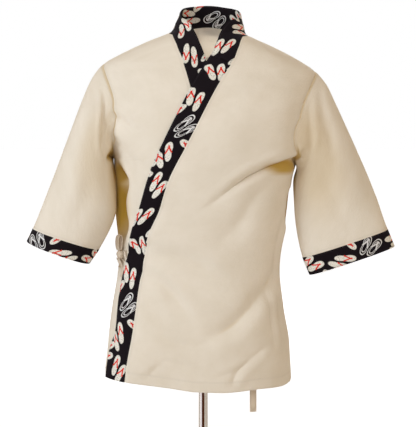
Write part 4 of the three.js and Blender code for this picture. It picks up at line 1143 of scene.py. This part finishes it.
class JACKET_OT_stand(bpy.types.Operator):
    """Make the plated pole and the round base"""
    bl_idname = "jacket.stand"
    bl_label = "Pole and base"

    def execute(self, context):
        colours = context.scene.jacket_colours
        low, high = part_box("pole")
        pole = add_rod("plated_pole", POLE_R / 1000, low[2], high[2], 96)
        edit_faces(pole, lambda normal: abs(normal.z) > 0.9)
        bpy.ops.mesh.bevel(offset=0.001, segments=4, affect="EDGES")
        bpy.ops.object.mode_set(mode="OBJECT")
        bpy.ops.object.shade_smooth_by_angle(angle=math.radians(35))
        plated = metal("plated steel", colours.pole, 0.04, 0.1, (60, 60, 6))
        finish_piece(pole, "pole", plated)

        base = add_rod("satin_base", BASE_R / 1000, 0, BASE_THICK / 1000, 160)
        edit_faces(base, lambda normal: normal.z > 0.9)
        rise = BOSS_TOP - BASE_THICK
        # a low step, a foot, the boss itself and the hole for the pole: how far in, then how far up
        for inward, up in ((BASE_R - BOSS_R - 5, 1.2), (3.5, 1.5), (1.5, rise - 2.7), (BOSS_R - POLE_R - 0.3, -rise)):
            bpy.ops.mesh.inset(thickness=inward / 1000)
            bpy.ops.mesh.extrude_region_move(TRANSFORM_OT_translate={"value": (0, 0, up / 1000)})
        bpy.ops.object.mode_set(mode="OBJECT")
        bevel = base.modifiers.new("eased edges", "BEVEL")
        bevel.width, bevel.segments, bevel.limit_method, bevel.angle_limit = 0.0012, 4, "ANGLE", math.radians(40)
        bpy.ops.object.modifier_apply(modifier=bevel.name)
        put_in_order(base.data)
        bpy.ops.object.shade_smooth_by_angle(angle=math.radians(35))
        satin = metal("satin steel", colours.base, 0.26, 0.42, (14, 14, 14))
        finish_piece(base, "base_plate", satin)
        return {"FINISHED"}


# Lights: place and aim in metres, width and height, how far the light spreads in degrees, and colour
LIGHTS = {
    "key": ((-0.4, -2.9, 2.0), (0, 0, 0.7), (1.5, 1.2), 180, (0.80, 0.91, 1.0)),
    "side": ((-2.9, -2.0, 1.3), (0, 0, 0.7), (1.2, 1.6), 180, (0.82, 0.92, 1.0)),
    "right": ((2.9, -2.0, 1.3), (0, 0, 0.65), (1.2, 1.6), 180, (1.0, 0.93, 0.82)),
    "above": ((0.1, -0.9, 3.0), (0, 0, 0.9), (1.2, 0.9), 180, (0.84, 0.93, 1.0)),
    "behind": ((0.6, 3.4, 1.9), (0, 0, 0.65), (2.4, 1.8), 180, (0.97, 0.98, 1.0)),
    "neck": ((0.02, -1.3, 1.16), (0.011, 0.05, 0.97), (0.05, 0.05), 4, (1.0, 0.92, 0.78)),
}
# Cards on the floor that only gloss can see, which paint reflections on the plated pole, a dark band and a highlight:
# where each begins and ends round the pole, in degrees, and its colour
CARDS = {"dark card": (-36, 30, (0.075, 0.018, 0.004)), "bright card": (-92, -39, (1.1, 1.06, 1.08))}
CARD_NEAR, CARD_FAR, CARD_UP = 0.3, 1.9, 0.002
VIEW_TARGET, VIEW_DROP, VIEW_AWAY, VIEW_LENS = (0.01008, 0, 0.61465), math.radians(4), 2.6, 104.4


class JACKET_OT_stage(bpy.types.Operator):
    """Make the floor, the lights, the cards and the camera"""
    bl_idname = "jacket.stage"
    bl_label = "Studio"

    def execute(self, context):
        bpy.ops.object.select_all(action="DESELECT")
        bpy.ops.mesh.primitive_circle_add(vertices=96, radius=40, fill_type="NGON", location=(0, 0, 0))
        floor = context.active_object
        floor.name = "studio_floor"
        floor.data.materials.append(self.floor_paint())
        for name, values in LIGHTS.items():
            self.light(name, getattr(context.scene.jacket_light, name), *values)
        self.world(context.scene.jacket_light.fill)
        self.camera()
        context.scene.view_settings.view_transform = "Standard"
        for name, values in CARDS.items():
            self.card(name, *values)
        return {"FINISHED"}

    def link(self, name, data):
        thing = bpy.data.objects.new(name, data)
        bpy.context.scene.collection.objects.link(thing)
        return thing

    def light(self, name, power, place, aim, size, spread, colour):
        light = bpy.data.lights.new(name, "AREA")
        light.shape, light.size, light.size_y = "RECTANGLE", *size
        light.energy, light.color, light.spread = power, colour, math.radians(spread)
        lamp = self.link(name, light)
        lamp.location, lamp.visible_camera = place, False
        lamp.rotation_euler = (Vector(aim) - Vector(place)).to_track_quat("-Z", "Y").to_euler()

    def card(self, name, start, end, colour):
        corners = ((CARD_NEAR, start), (CARD_NEAR, end), (CARD_FAR, end), (CARD_FAR, start))
        mesh = bpy.data.meshes.new(name)
        mesh.from_pydata([(r * math.sin(math.radians(a)), -r * math.cos(math.radians(a)), CARD_UP)
                          for r, a in corners], [], [(0, 1, 2, 3)])
        # the card glows with its colour for gloss alone: a painted reflection that lights nothing and casts no shadow
        r = new_material(name)
        mesh.materials.append(r.set(Base_Color=(0, 0, 0, 1), Specular_IOR_Level=0.0, Emission_Color=colour + (1,),
                                    Emission_Strength=1.0))
        card = self.link(name, mesh)
        card.visible_camera = card.visible_diffuse = card.visible_shadow = card.visible_transmission = False

    def floor_paint(self):
        """Pale floor paint, which shows whiter than the light it casts."""
        r = new_material("pale floor")
        away = r.node("ShaderNodeVectorMath", {0: r.node("ShaderNodeTexCoord", out=3)}, out=1, operation="LENGTH")
        far = r.span(away, 0.5, 1.0, 0.8, 5.0)
        return r.set(Base_Color=(0.9, 0.92, 0.95, 1), Roughness=0.9, Specular_IOR_Level=0.1,
                     Emission_Color=(0.80, 0.88, 1.0, 1),
                     Emission_Strength=r.times(r.node("ShaderNodeLightPath"), far))

    def world(self, fill):
        """A white backdrop that lights the part with less, warmer light than it shows."""
        r = Recipe(bpy.data.worlds.new("studio"))
        bpy.context.scene.world = r.owner
        shown = r.tree.nodes["Background"]
        shown.inputs["Color"].default_value = (1, 1, 1, 1)
        cast = r.node("ShaderNodeBackground", {"Color": (1.0, 0.62, 0.17, 1), "Strength": fill})
        ray = r.tree.nodes.new("ShaderNodeLightPath").outputs
        seen = r.math("MAXIMUM", ray["Is Camera Ray"], ray["Is Glossy Ray"])
        r.put(r.tree.nodes["World Output"].inputs["Surface"],
              r.node("ShaderNodeMixShader", {0: seen, 1: cast, 2: shown.outputs[0]}))

    def camera(self):
        camera = bpy.data.cameras.new("view")
        camera.lens, camera.sensor_width, camera.clip_end = VIEW_LENS, 36, 200
        holder = self.link("view", camera)
        holder.location = Vector(VIEW_TARGET) - Vector((0, math.cos(VIEW_DROP), -math.sin(VIEW_DROP))) * VIEW_AWAY
        holder.rotation_euler = (PI / 2 - VIEW_DROP, 0, 0)
        bpy.context.scene.camera = holder


class JACKET_PT_sidebar(bpy.types.Panel):
    """Lists the jacket's sizes, colours and steps"""
    bl_idname = "JACKET_PT_sidebar"
    bl_label = "Wrap jacket"
    bl_space_type = "VIEW_3D"
    bl_region_type = "UI"
    bl_category = "Jacket"

    def draw(self, context):
        for group in (context.scene.jacket_sizes, context.scene.jacket_colours, context.scene.jacket_light):
            box = self.layout.box()
            for key in group.bl_rna.properties.keys():
                if key not in ("name", "rna_type"):
                    box.prop(group, key)
        for step in STEPS:
            self.layout.operator(step.bl_idname)


STEPS = (JACKET_OT_form, JACKET_OT_stand, JACKET_OT_panels, JACKET_OT_bands, JACKET_OT_sleeves, JACKET_OT_ties,
         JACKET_OT_stage)
CLASSES = (JacketSizes, JacketColours, StudioLight, *STEPS, JACKET_PT_sidebar)


def register():
    for cls in CLASSES:
        bpy.utils.register_class(cls)
    bpy.types.Scene.jacket_sizes = PointerProperty(type=JacketSizes)
    bpy.types.Scene.jacket_colours = PointerProperty(type=JacketColours)
    bpy.types.Scene.jacket_light = PointerProperty(type=StudioLight)


def unregister():
    for name in ("jacket_light", "jacket_colours", "jacket_sizes"):
        delattr(bpy.types.Scene, name)
    for cls in reversed(CLASSES):
        bpy.utils.unregister_class(cls)


def main():
    register()
    for step in STEPS:
        group, name = step.bl_idname.split(".")
        getattr(getattr(bpy.ops, group), name)()


if __name__ == "__main__":
    main()
